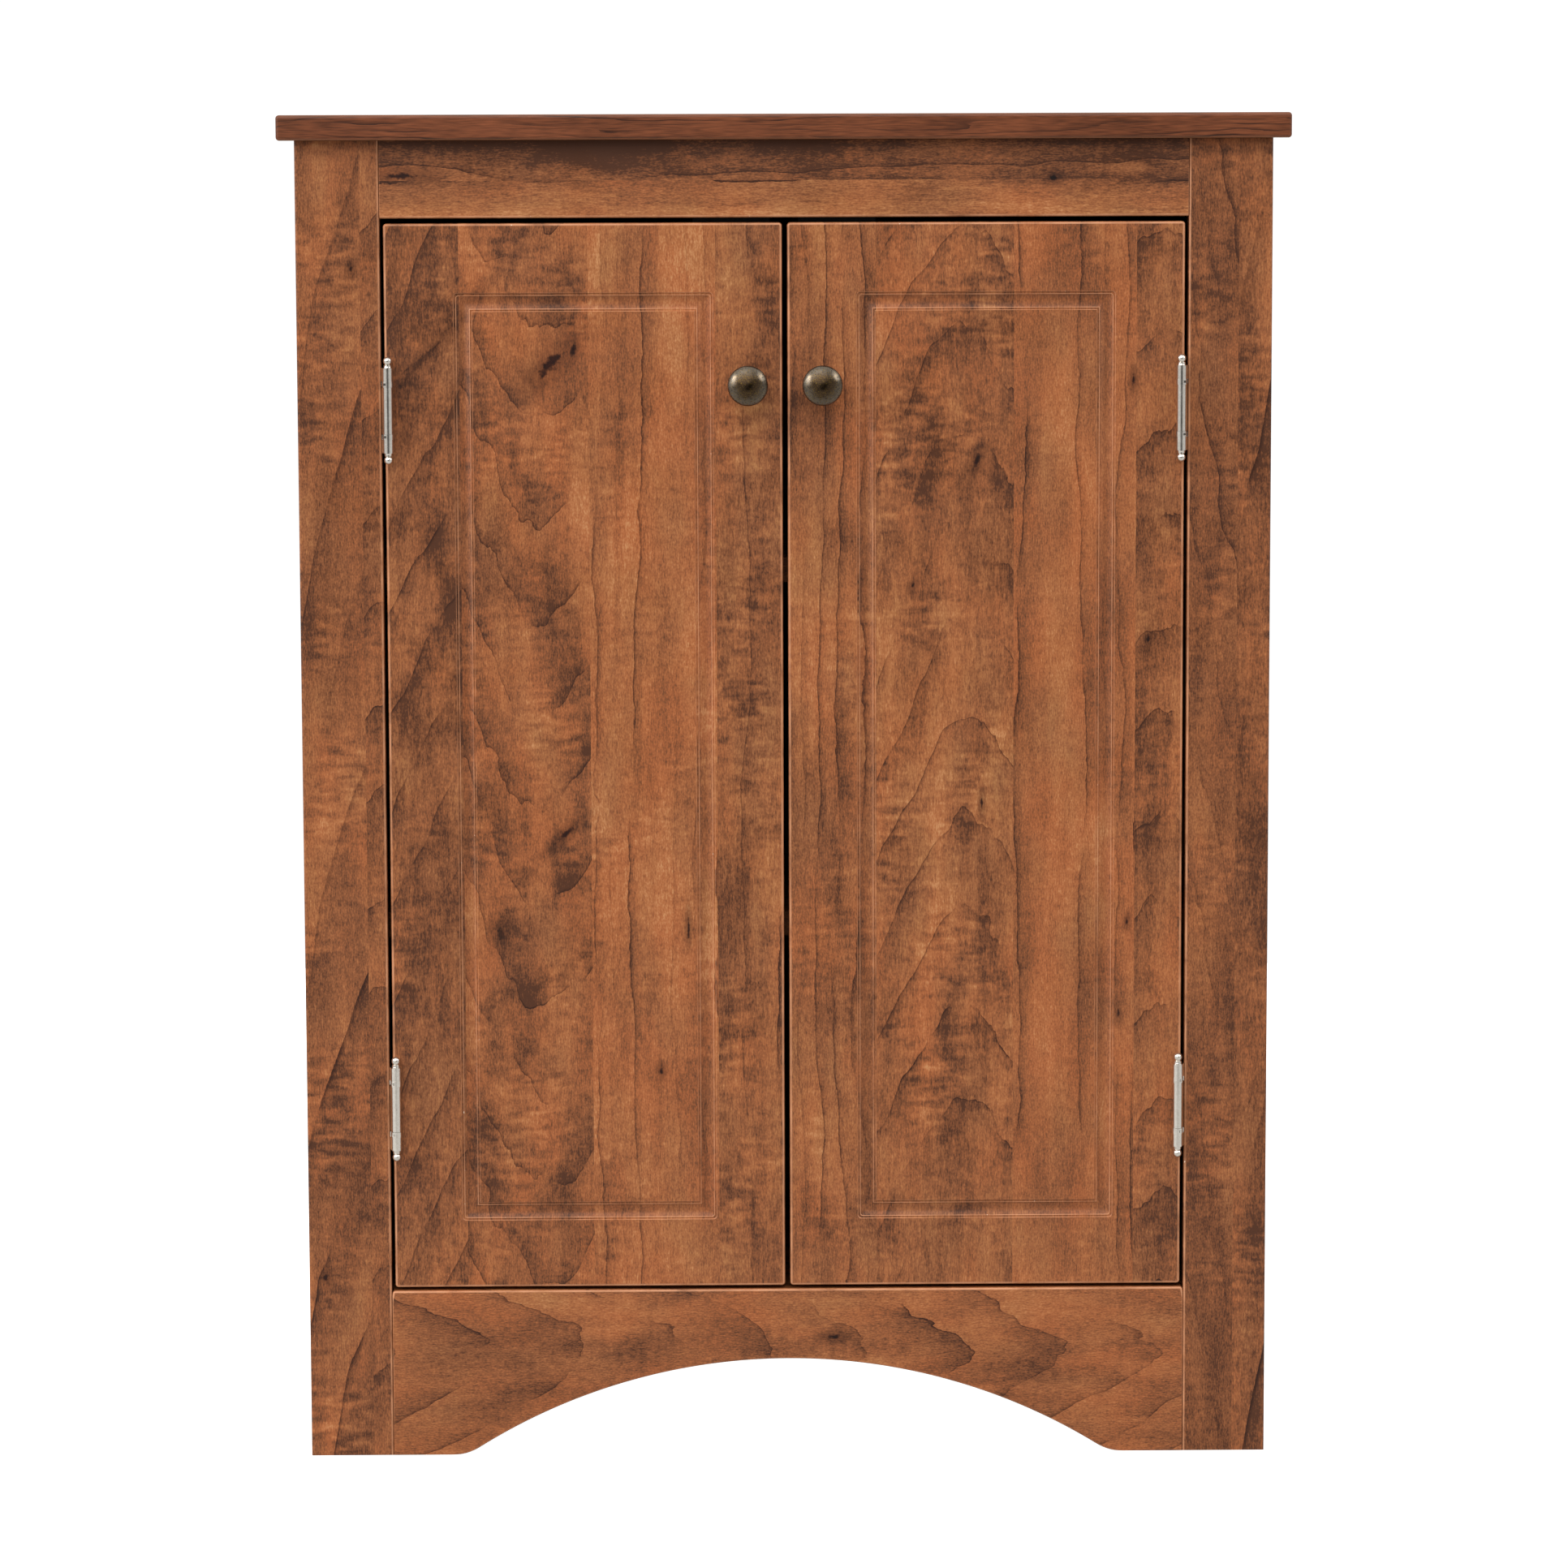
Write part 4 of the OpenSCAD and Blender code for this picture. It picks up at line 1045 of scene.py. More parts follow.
def rounded_rectangle(half_w: float, half_h: float, radius: float) -> list[Point]:
    """Gives the points of a rectangle with round corners, the same number for any radius.

    Args:
        half_w: Half of its width.
        half_h: Half of its height.
        radius: Radius of its corners, which may be nothing.

    Returns:
        Points in anticlockwise order.
    """
    made = []
    for quarter, (sx, sz) in enumerate(((1, 1), (-1, 1), (-1, -1), (1, -1))):
        for step in range(CORNER_STEPS + 1):
            angle = (quarter + step / CORNER_STEPS) * math.pi / 2
            x = sx * (half_w - radius) + radius * math.cos(angle)
            made.append((x, sz * (half_h - radius) + radius * math.sin(angle)))
    return made


@dataclass(frozen=True)
class Ring:
    """One ring of a face that is made of nested rectangles: how far in, how deep, and its wear and painted light.
    """

    inward: float
    depth: float
    worn: float = 0.0
    corner: float = 0.0


def rounding(radius: float) -> list[tuple[float, float, float]]:
    """Gives the steps of a quarter round from the side of a board to its face.

    Args:
        radius: The rounding's radius.

    Returns:
        How far in and how deep each step lies, and how pale it is painted, partly wear and partly painted
        highlight.
    """
    made = []
    for step, worn in enumerate(ROUNDING_WEAR_AND_LIGHT):
        angle = math.pi / 2 * step / (len(ROUNDING_WEAR_AND_LIGHT) - 1)
        made.append((radius * (1 - math.cos(angle)), radius * (1 - math.sin(angle)), worn))
    return made


def dress(obj: bpy.types.Object, material: bpy.types.Material) -> None:
    """Gives an object one material in place of those that it has.

    Args:
        obj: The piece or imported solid.
        material: Its finish.
    """
    if len(obj.material_slots):
        for held in obj.material_slots:
            held.material = material
    else:
        obj.data.materials.append(material)
    LOG.info("%s: finished in %s", obj.name, material.name)


def settle(obj: bpy.types.Object, body: str, slot: str, *nodes: str) -> None:
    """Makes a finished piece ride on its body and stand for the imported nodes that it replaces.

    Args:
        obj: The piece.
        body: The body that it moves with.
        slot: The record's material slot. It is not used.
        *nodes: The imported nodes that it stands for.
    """
    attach(obj, body)
    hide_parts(*nodes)
    LOG.info("%s: %d faces, rides on %s", obj.name, len(obj.data.polygons), body)


@dataclass(frozen=True)
class Outline:
    """A board's front outline, anticlockwise: corners, edge roundings, and each corner's wear and painted
    highlight.
    """

    points: list[Point]
    radii: list[float]
    worn: list[float]


@dataclass
class FaceBoard:
    """A board of the face frame: square edges at the back, its front edges rounded and painted pale, partly as wear
    and partly as painted highlight.

    The roundings are those of the bottom, right, top and left edges. The wear and painted highlight are those of
    the corners, from the lower left one round to the upper left one.
    """

    node: str
    lie: Lie
    finish: CherryFoil
    radii: tuple[float, float, float, float] = (1.5, 1.5, 1.5, 1.5)
    worn: tuple[float, float, float, float] = (1.0, 1.0, 1.0, 1.0)
    shape: Callable[[Vector, Vector], Outline] | None = None

    def build(self) -> bpy.types.Object:
        """Makes the board and dresses it.

        Returns:
            The board.
        """
        low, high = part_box(self.node)
        outline = self.shape(low, high) if self.shape else self._rectangle(low, high)
        points, radii = outline.points, outline.radii
        count, thickness = len(points), high.y - low.y
        corner_r = [max(radii[i - 1], radii[i]) for i in range(count)]
        stack = [(points, [thickness] * count, 0.0), (points, [thickness - BACK_BAND] * count, 0.0)]
        stack.append((points, [r + WEAR_AND_LIGHT_REACH for r in corner_r], 0.0))
        for inward, depth, worn in rounding(1.0):
            stack.append((inset(points, [r * inward for r in radii]), [r * depth for r in corner_r], worn))
        stack.append((inset(points, [r + WEAR_AND_LIGHT_REACH for r in radii]), [0.0] * count, 0.0))
        rings = [[Vector((x, low.y + d, z)) for (x, z), d in zip(at, depths)] for at, depths, _ in stack]
        board = skin(f"{self.node}_board", rings, [[share * w for w in outline.worn] for *_, share in stack])
        place = BoardPlace.of(self.node, self.lie)
        dress(board, self.finish.material(f"{self.node} cherry foil", place))
        settle(board, "cabinet", "cherry_foil", self.node)
        return board

    def _rectangle(self, low: Vector, high: Vector) -> Outline:
        """Gives the outline of a plain board."""
        corners = [(low.x, low.z), (high.x, low.z), (high.x, high.z), (low.x, high.z)]
        return Outline(corners, [r * MM for r in self.radii], list(self.worn))


@dataclass(frozen=True)
class ArchedEdge:
    """The outline of the apron: an arch through its crown and two points on the floor, with rounded toes."""

    rise: float = 58.7 * MM
    half_span: float = 195 * MM
    toe_r: float = 30 * MM
    steps: int = 72
    toe_steps: int = 8
    corner_steps: int = 4
    edge_r: float = 0.7 * MM
    top_r: float = 1.5 * MM
    corner_r: float = 2.0 * MM
    end_r: float = 0.5 * MM

    def __call__(self, low: Vector, high: Vector) -> Outline:
        """Gives the apron's outline.

        Args:
            low: The board's lowest corner.
            high: The board's highest corner.

        Returns:
            The outline.
        """
        middle = (low.x + high.x) / 2
        radius = (self.half_span**2 + self.rise**2) / (2 * self.rise)
        centre_z = self.rise - radius
        toe_x = math.sqrt((radius + self.toe_r) ** 2 - (self.toe_r - centre_z) ** 2)
        reach = math.atan2(toe_x, self.toe_r - centre_z)
        bends = [reach * step / self.toe_steps for step in range(self.toe_steps)]
        left = [(-toe_x + self.toe_r * math.sin(a), self.toe_r * (1 - math.cos(a))) for a in bends]
        arch = []
        for step in range(self.steps + 1):
            angle = -reach + 2 * reach * step / self.steps
            arch.append((radius * math.sin(angle), centre_z + radius * math.cos(angle)))
        right = [(-x, z) for x, z in reversed(left)]
        lower = [(middle + x, low.z + z) for x, z in left + arch + right]
        r = self.corner_r
        turns = [math.pi / 2 * step / self.corner_steps for step in range(self.corner_steps + 1)]
        top_right = [(high.x - r + r * math.cos(a), high.z - r + r * math.sin(a)) for a in turns]
        top_left = [(low.x + r - r * math.sin(a), high.z - r + r * math.cos(a)) for a in turns]
        points = [(low.x, low.z), *lower, (high.x, low.z), *top_right, *top_left]
        upper = len(top_right) + len(top_left)
        radii = [self.edge_r] * (1 + len(lower)) + [self.end_r] + [self.top_r] * (upper - 1) + [self.end_r]
        worn = [0.2] + [0.6] * len(lower) + [0.2] + [1.0] * upper
        return Outline(points, radii, worn)


@dataclass
class Door:
    """A door board with a routed groove round a raised field, cut by a round-nosed cutter."""

    side: Side
    finish: CherryFoil
    edge_r: float = 1.5 * MM
    corner_r: float = 2.0 * MM
    groove_inset: float = 46.7 * MM
    groove_half: float = 5.4 * MM
    ledge: float = 1.4 * MM
    ledge_depth: float = 0.8 * MM
    groove_depth: float = 2.4 * MM
    groove_steps: int = 7
    arris: float = 0.18 * MM
    arris_fade: float = 0.35 * MM
    back_chamfer: float = 0.3 * MM
    corner_share: float = 0.4
    # How dark the groove's cove is painted: painted shade in the recess.
    painted_shade: float = 0.08

    def _groove(self) -> list[tuple[float, float, float]]:
        """Gives the groove's section from the rim inwards.

        Returns:
            Place from the groove's middle line, depth and paint of each ring, painted shade where it is negative.
        """
        half = self.groove_half
        cove = half - self.ledge
        sag = self.groove_depth - self.ledge_depth
        radius = (cove**2 + sag**2) / (2 * sag)
        near, far = self.arris, self.arris_fade
        # Arrises painted pale, partly wear and partly painted highlight; the cove painted shade.
        outer = [
            (half + far, 0.0, 0.0),
            (half + near, 0.0, 0.3),
            (half, near, 0.95),
            (half - near, self.ledge_depth - near, 0.0),
            (half - far, self.ledge_depth, 0.0),
            (cove + far, self.ledge_depth, 0.0),
            (cove, self.ledge_depth + 0.05 * MM, 0.95),
            (cove - far, self.ledge_depth + far, -self.painted_shade),
        ]
        inner = []
        for step in range(1, self.groove_steps + 1):
            at = (cove - 3 * far) * (1 - step / self.groove_steps)
            inner.append((at, self.groove_depth - radius + math.sqrt(radius**2 - at**2), -self.painted_shade))
        side = outer + inner
        return side + [(-at, depth, worn) for at, depth, worn in reversed(side[:-1])]

    def build(self) -> bpy.types.Object:
        """Makes the door and dresses it.

        Returns:
            The door.
        """
        node = f"{self.side.value}_door"
        low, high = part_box(node)
        half = (high - low) / 2
        middle = (low + high) / 2
        thickness = high.y - low.y
        rings = [Ring(self.back_chamfer, thickness, 0.3, self.corner_r)]
        rings.append(Ring(0, thickness - self.back_chamfer, 0.3, self.corner_r))
        rings.append(Ring(0, thickness - BACK_BAND, 0, self.corner_r))
        rings.append(Ring(0, self.edge_r + WEAR_AND_LIGHT_REACH, 0, self.corner_r))
        for inward, depth, worn in rounding(self.edge_r):
            rings.append(Ring(inward, depth, worn, max(self.corner_r - inward, 0)))
        rings.append(Ring(self.edge_r + WEAR_AND_LIGHT_REACH, 0))
        for at, depth, worn in self._groove():
            rings.append(Ring(self.groove_inset - at, depth, worn, max(at * self.corner_share, 0)))
        placed, worn = [], []
        for r in rings:
            points = rounded_rectangle(half.x - r.inward, half.z - r.inward, r.corner)
            placed.append([Vector((middle.x + x, low.y + r.depth, middle.z + z)) for x, z in points])
            worn.append(r.worn)
        board = skin(f"{node}_board", placed, worn)
        place = BoardPlace.of(node, Lie.UPRIGHT_FRONT)
        dress(board, self.finish.material(f"{self.side.value} door cherry foil", place))
        settle(board, node, "cherry_foil", node)
        return board


@dataclass
class Top:
    """The top: one board with all its edges rounded."""

    finish: TopLaminate = field(default_factory=TopLaminate)
    edge_r: float = 2.0 * MM
    upper_wear: float = 0.4

    def build(self) -> bpy.types.Object:
        """Makes the top and dresses it.

        Returns:
            The top.
        """
        low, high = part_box("top_panel")
        half, middle = (high - low) / 2, (low + high) / 2
        up = rounding(self.edge_r)
        up = [(0.0, self.edge_r + WEAR_AND_LIGHT_REACH, 0.0), *up, (self.edge_r + WEAR_AND_LIGHT_REACH, 0.0, 0.0)]
        stack = [(i, low.z + d, w) for i, d, w in reversed(up)]
        stack += [(i, high.z - d, w * self.upper_wear) for i, d, w in up]
        rings = []
        for inward, z, _ in stack:
            corner = max(self.edge_r - inward, 0)
            points = rounded_rectangle(half.x - inward, half.y - inward, corner)
            rings.append([Vector((middle.x + x, middle.y + y, z)) for x, y in points])
        board = skin("top_board", rings, [worn for *_, worn in stack])
        dress(board, self.finish.material("top cherry laminate", BoardPlace.of("top_panel", Lie.FLAT)))
        settle(board, "cabinet", "top_laminate", "top_panel")
        return board


# ---------------------------------------------------------------- turned and repeated pieces


def lathe(name: str, profile: Sequence[Point], segments: int, axis: Matrix) -> bpy.types.Object:
    """Turns a profile round an axis.

    Args:
        name: Name of the object.
        profile: Radius and height of each point, from one end on the axis to the other.
        segments: Number of facets round the axis.
        axis: Places the turned piece, whose axis is its own Z.

    Returns:
        The new object, with its place in its mesh.
    """
    rings = []
    for radius, height in profile:
        angles = [math.tau * i / segments for i in range(segments)]
        rings.append([axis @ Vector((radius * math.cos(a), radius * math.sin(a), height)) for a in angles])
    return skin(name, rings, [0.0] * len(rings))


def islands(node: str) -> list[tuple[Vector, Vector]]:
    """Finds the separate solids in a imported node.

    Args:
        node: The node's name.

    Returns:
        Lowest and highest corner of each solid, in a fixed order.
    """
    bm = bmesh.new()
    bm.from_mesh(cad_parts[node].data)
    bmesh.ops.remove_doubles(bm, verts=bm.verts, dist=0.01 * MM)
    left, made = set(bm.verts), []
    while left:
        edge = [left.pop()]
        found = list(edge)
        while edge:
            vert = edge.pop()
            for link in vert.link_edges:
                other = link.other_vert(vert)
                if other in left:
                    left.remove(other)
                    edge.append(other)
                    found.append(other)
        low = Vector([min(v.co[i] for v in found) for i in range(3)])
        high = Vector([max(v.co[i] for v in found) for i in range(3)])
        made.append((low, high))
    bm.free()
    return sorted(made, key=lambda box: [round(c, 5) for c in (*box[0], *box[1])])


@dataclass
class Copies:
    """Sets copies of one small part at given places, each turned by chance about its own axis."""

    part: bpy.types.Object
    material: bpy.types.Material
    seed: int = 7

    def tree(self) -> Tree:
        """Builds the Geometry Nodes tree.

        Returns:
            The tree, whose inputs are the places, the part, the seed and the finish.
        """
        t = bpy.data.node_groups.new(f"set copies of {self.part.name}", "GeometryNodeTree")
        kinds = (
            ("Places", "NodeSocketGeometry"),
            ("Part", "NodeSocketObject"),
            ("Seed", "NodeSocketInt"),
            ("Largest turn", "NodeSocketFloat"),
            ("Finish", "NodeSocketMaterial"),
        )
        for label, kind in kinds:
            t.interface.new_socket(label, in_out="INPUT", socket_type=kind)
        t.interface.new_socket("Copies", in_out="OUTPUT", socket_type="NodeSocketGeometry")
        ins = t.nodes.new("NodeGroupInput").outputs
        part = add(t, "GeometryNodeObjectInfo", {"Object": ins["Part"]}, out="Geometry")
        facing = add(t, "GeometryNodeInputNamedAttribute", {"Name": "facing"}, data_type="FLOAT_VECTOR")
        turn = add(t, "FunctionNodeAlignEulerToVector", {"Vector": facing}, axis="Z")
        inputs = {"Max": ins["Largest turn"], "Seed": ins["Seed"]}
        chance = add(t, "FunctionNodeRandomValue", inputs, out=1, data_type="FLOAT")
        about = add(t, "ShaderNodeCombineXYZ", {"Z": chance})
        inputs = {"Rotation": turn, "Rotate By": about}
        turn = add(t, "FunctionNodeRotateEuler", inputs, rotation_type="EULER", space="LOCAL")
        inputs = {"Points": ins["Places"], "Instance": part, "Rotation": turn}
        placed = add(t, "GeometryNodeInstanceOnPoints", inputs)
        real = add(t, "GeometryNodeRealizeInstances", [placed])
        real = add(t, "GeometryNodeSetMaterial", {"Geometry": real, "Material": ins["Finish"]})
        out = t.nodes.new("NodeGroupOutput")
        t.links.new(real, out.inputs["Copies"])
        return t

    def build(self, name: str, places: Sequence[tuple[Vector, Vector]]) -> bpy.types.Object:
        """Sets the copies and turns the result into one plain mesh.

        Args:
            name: Name of the piece.
            places: Where each copy stands, and the way that its own Z faces.

        Returns:
            The piece.
        """
        mesh = bpy.data.meshes.new(f"{name} places")
        mesh.from_pydata([p for p, _ in places], [], [])
        facing = mesh.attributes.new("facing", "FLOAT_VECTOR", "POINT")
        facing.data.foreach_set("vector", [c for _, way in places for c in way])
        points = new_object(f"{name} places", mesh)
        modifier = points.modifiers.new("copies", "NODES")
        modifier.node_group = self.tree()
        values = {"Part": self.part, "Seed": self.seed, "Largest turn": math.tau, "Finish": self.material}
        for item in modifier.node_group.interface.items_tree:
            if item.item_type == "SOCKET" and item.in_out == "INPUT" and item.name in values:
                modifier[item.identifier] = values[item.name]
        graph = bpy.context.evaluated_depsgraph_get()
        plain = bpy.data.meshes.new_from_object(points.evaluated_get(graph))
        points.modifiers.remove(modifier)
        for used in (points, self.part):
            bpy.data.objects.remove(used)
        return new_object(name, plain)


@dataclass
class Knob:
    """A round cast knob: a low dome with a rolled rim, on a waisted shank with a foot."""

    side: Side
    finish: AntiqueBronze = field(default_factory=AntiqueBronze)
    rim_r: float = 2.4 * MM
    dome_r: float = 16 * MM
    foot_r: float = 5.5 * MM
    waist_r: float = 4.0 * MM
    segments: int = 96
    rim_steps: int = 12
    dome_steps: int = 16

    def build(self) -> bpy.types.Object:
        """Makes the knob and dresses it.

        Returns:
            The knob.
        """
        node = f"{self.side.value}_knob"
        low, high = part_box(node)
        reach = high.y - low.y
        outer = (high.x - low.x) / 2
        rim_x = outer - self.rim_r
        dome_at = reach - self.dome_r
        rim_at = dome_at + math.sqrt((self.dome_r - self.rim_r) ** 2 - rim_x**2)
        lean = math.atan2(rim_x, rim_at - dome_at)
        profile: list[Point] = [(0.0, 0.0), (self.foot_r - 0.3 * MM, 0.0), (self.foot_r, 0.3 * MM)]
        profile += [(self.foot_r, 1.0 * MM), (self.foot_r - 0.4 * MM, 1.5 * MM), (self.waist_r, 3.2 * MM)]
        profile += [(self.waist_r, 5.0 * MM), (self.waist_r + 0.6 * MM, dome_at + 0.6 * MM)]
        profile.append((rim_x - 1.2 * MM, rim_at - self.rim_r - 0.2 * MM))
        for step in range(self.rim_steps + 1):
            angle = -math.pi / 2 + (math.pi - lean) * step / self.rim_steps
            profile.append((rim_x + self.rim_r * math.cos(angle), rim_at + self.rim_r * math.sin(angle)))
        for step in range(1, self.dome_steps + 1):
            angle = lean * (1 - step / self.dome_steps)
            profile.append((self.dome_r * math.sin(angle), dome_at + self.dome_r * math.cos(angle)))
        middle = (low + high) / 2
        axis = Matrix.Translation((middle.x, high.y, middle.z)) @ Matrix.Rotation(math.pi / 2, 4, "X")
        knob = lathe(f"{node}_turned", profile, self.segments, axis)
        dress(knob, self.finish.material(f"{self.side.value} knob antique bronze", node))
        settle(knob, f"{self.side.value}_door", "antique_bronze", node)
        return knob


@dataclass
class Hinges:
    """Four flush hinges: rolled leaves, rings with windows, and turned ball tips."""

    ball_r: float = 2.6 * MM
    collar_r: float = 2.3 * MM
    neck_r: float = 1.7 * MM
    flange_r: float = 2.4 * MM
    ball_steps: int = 14
    segments: int = 40

    def build(self) -> None:
        """Dresses the rolled parts and makes the ball tips."""
        nickel = BRIGHT_NICKEL.material("hinge bright nickel plate")
        names = [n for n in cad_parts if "leaf" in n or n.endswith("hinge_pin") or n == "hinge_rings"]
        for name in names:
            dress(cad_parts[name], nickel)
        dress(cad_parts["hinge_bushes"], BLACK_PLASTIC.material("hinge bush nylon"))
        solids = islands("hinge_finials")
        height = solids[0][1].z - solids[0][0].z
        centre = height - self.ball_r
        start = math.acos(self.neck_r / self.ball_r)
        profile = [(0.0, 0.0), (self.flange_r, 0.0), (self.flange_r, 0.5 * MM), (self.collar_r, 0.7 * MM)]
        profile.append((self.collar_r, centre - self.ball_r * 0.95))
        profile.append((self.neck_r, centre - self.ball_r * math.sin(start)))
        for step in range(1, self.ball_steps + 1):
            angle = -start + (math.pi / 2 + start) * step / self.ball_steps
            profile.append((self.ball_r * math.cos(angle), centre + self.ball_r * math.sin(angle)))
        tip = lathe("ball_tip", profile, self.segments, Matrix.Identity(4))
        middle_z = (CAD_BOX[0].z + CAD_BOX[1].z) / 2
        pairs: dict[tuple[bool, bool], list[tuple[Vector, Vector]]] = {}
        for low, high in solids:
            pairs.setdefault((low.x > 0, low.z > middle_z), []).append((low, high))
        places = []
        for ends in pairs.values():
            for (low, high), up in zip(sorted(ends, key=lambda box: box[0].z), (False, True)):
                x, y = (low.x + high.x) / 2, (low.y + high.y) / 2
                places.append((Vector((x, y, low.z if up else high.z)), Vector((0, 0, 1 if up else -1))))
        tips = Copies(tip, nickel).build("hinge_ball_tips", places)
        settle(tips, "cabinet", "bright_nickel", "hinge_finials")


@dataclass
class Carcass:
    """The boards behind the face frame, the shelves, and what holds them together."""

    nail_head_r: float = 2.0 * MM
    nail_r: float = 0.8 * MM
    nail_segments: int = 14

    def build(self) -> None:
        """Dresses the boards and fasteners and makes the nails of the back."""
        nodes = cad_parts
        self._boards()
        dress(nodes["back_panel"], HARDBOARD.material("back hardboard"))
        dress(nodes["dowels"], BEECH.material("dowel beech"))
        zinc = ZINC_STEEL.material("fastener zinc plate")
        for name in nodes:
            if name.startswith("cam_") or name.endswith(("_pins", "_screw", "_poles", "strike_plate")):
                dress(nodes[name], zinc)
        dress(nodes["catch_screws"], zinc)
        black = BLACK_PLASTIC.material("catch moulded plastic")
        ferrite = FERRITE.material("catch ferrite")
        for side in Side:
            dress(nodes[f"{side.value}_catch_housing"], black)
            dress(nodes[f"{side.value}_catch_magnet"], ferrite)
        self._nails(zinc)

    def _boards(self) -> None:
        """Dresses the sides, the bottom, the rails and the shelves in a calmer cherry laminate."""
        sheets = (
            ("left_side_panel", Lie.UPRIGHT_SIDE, 40.0),
            ("right_side_panel", Lie.UPRIGHT_SIDE, 47.0),
            ("bottom_panel", Lie.FLAT, 54.0),
            ("lower_shelf", Lie.FLAT, 61.0),
            ("upper_shelf", Lie.FLAT, 68.0),
            ("rear_rail", Lie.CROSSWISE_FRONT, 75.0),
            ("catch_batten", Lie.FLAT, 82.0),
        )
        for node, lie, seed in sheets:
            place = BoardPlace.of(node, lie)
            width = place.width / MM
            planks = (
                Plank(0, -0.03, 0.35, 1, 0.15 * width, 0.35, 0.35),
                Plank(0.29 * width, 0.05, 0.7, 0, 0.4 * width, 0.25, 0.5),
                Plank(0.47 * width, -0.02, 0.45, 1, 0.60 * width, 0.4, 0.4),
                Plank(0.78 * width, 0.03, 0.6, 0, 0.9 * width, 0.3, 0.3),
            )
            finish = CherryFoil(seed, planks, roughness=0.5)
            dress(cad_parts[node], finish.material(f"{node} cherry laminate", place))

    def _nails(self, zinc: bpy.types.Material) -> None:
        """Makes the nails that hold the back, with low domed heads.

        Args:
            zinc: Their finish.
        """
        solids = islands("back_panel_nails")
        low, high = solids[0]
        length = high.y - low.y
        profile = [(0.0, 0.0), (0.25 * MM, 0.6 * MM), (self.nail_r, 2.2 * MM), (self.nail_r, length - 0.8 * MM)]
        profile += [(self.nail_head_r, length - 0.8 * MM), (self.nail_head_r, length - 0.45 * MM)]
        profile += [(self.nail_head_r * 0.75, length - 0.15 * MM), (0.0, length)]
        nail = lathe("panel_nail", profile, self.nail_segments, Matrix.Identity(4))
        places = [(Vector(((a.x + b.x) / 2, a.y, (a.z + b.z) / 2)), Vector((0, 1, 0))) for a, b in solids]
        nails = Copies(nail, zinc).build("back_nails", places)
        settle(nails, "cabinet", "zinc_steel", "back_panel_nails")


# ---------------------------------------------------------------- studio


@dataclass(frozen=True)
class Lamp:
    """A soft lamp: where it stands, what it looks at, its size and its power."""

    name: str
    place: Place
    size: Point
    power: float
    aim: Place = (0.0, 0.0, 0.42)


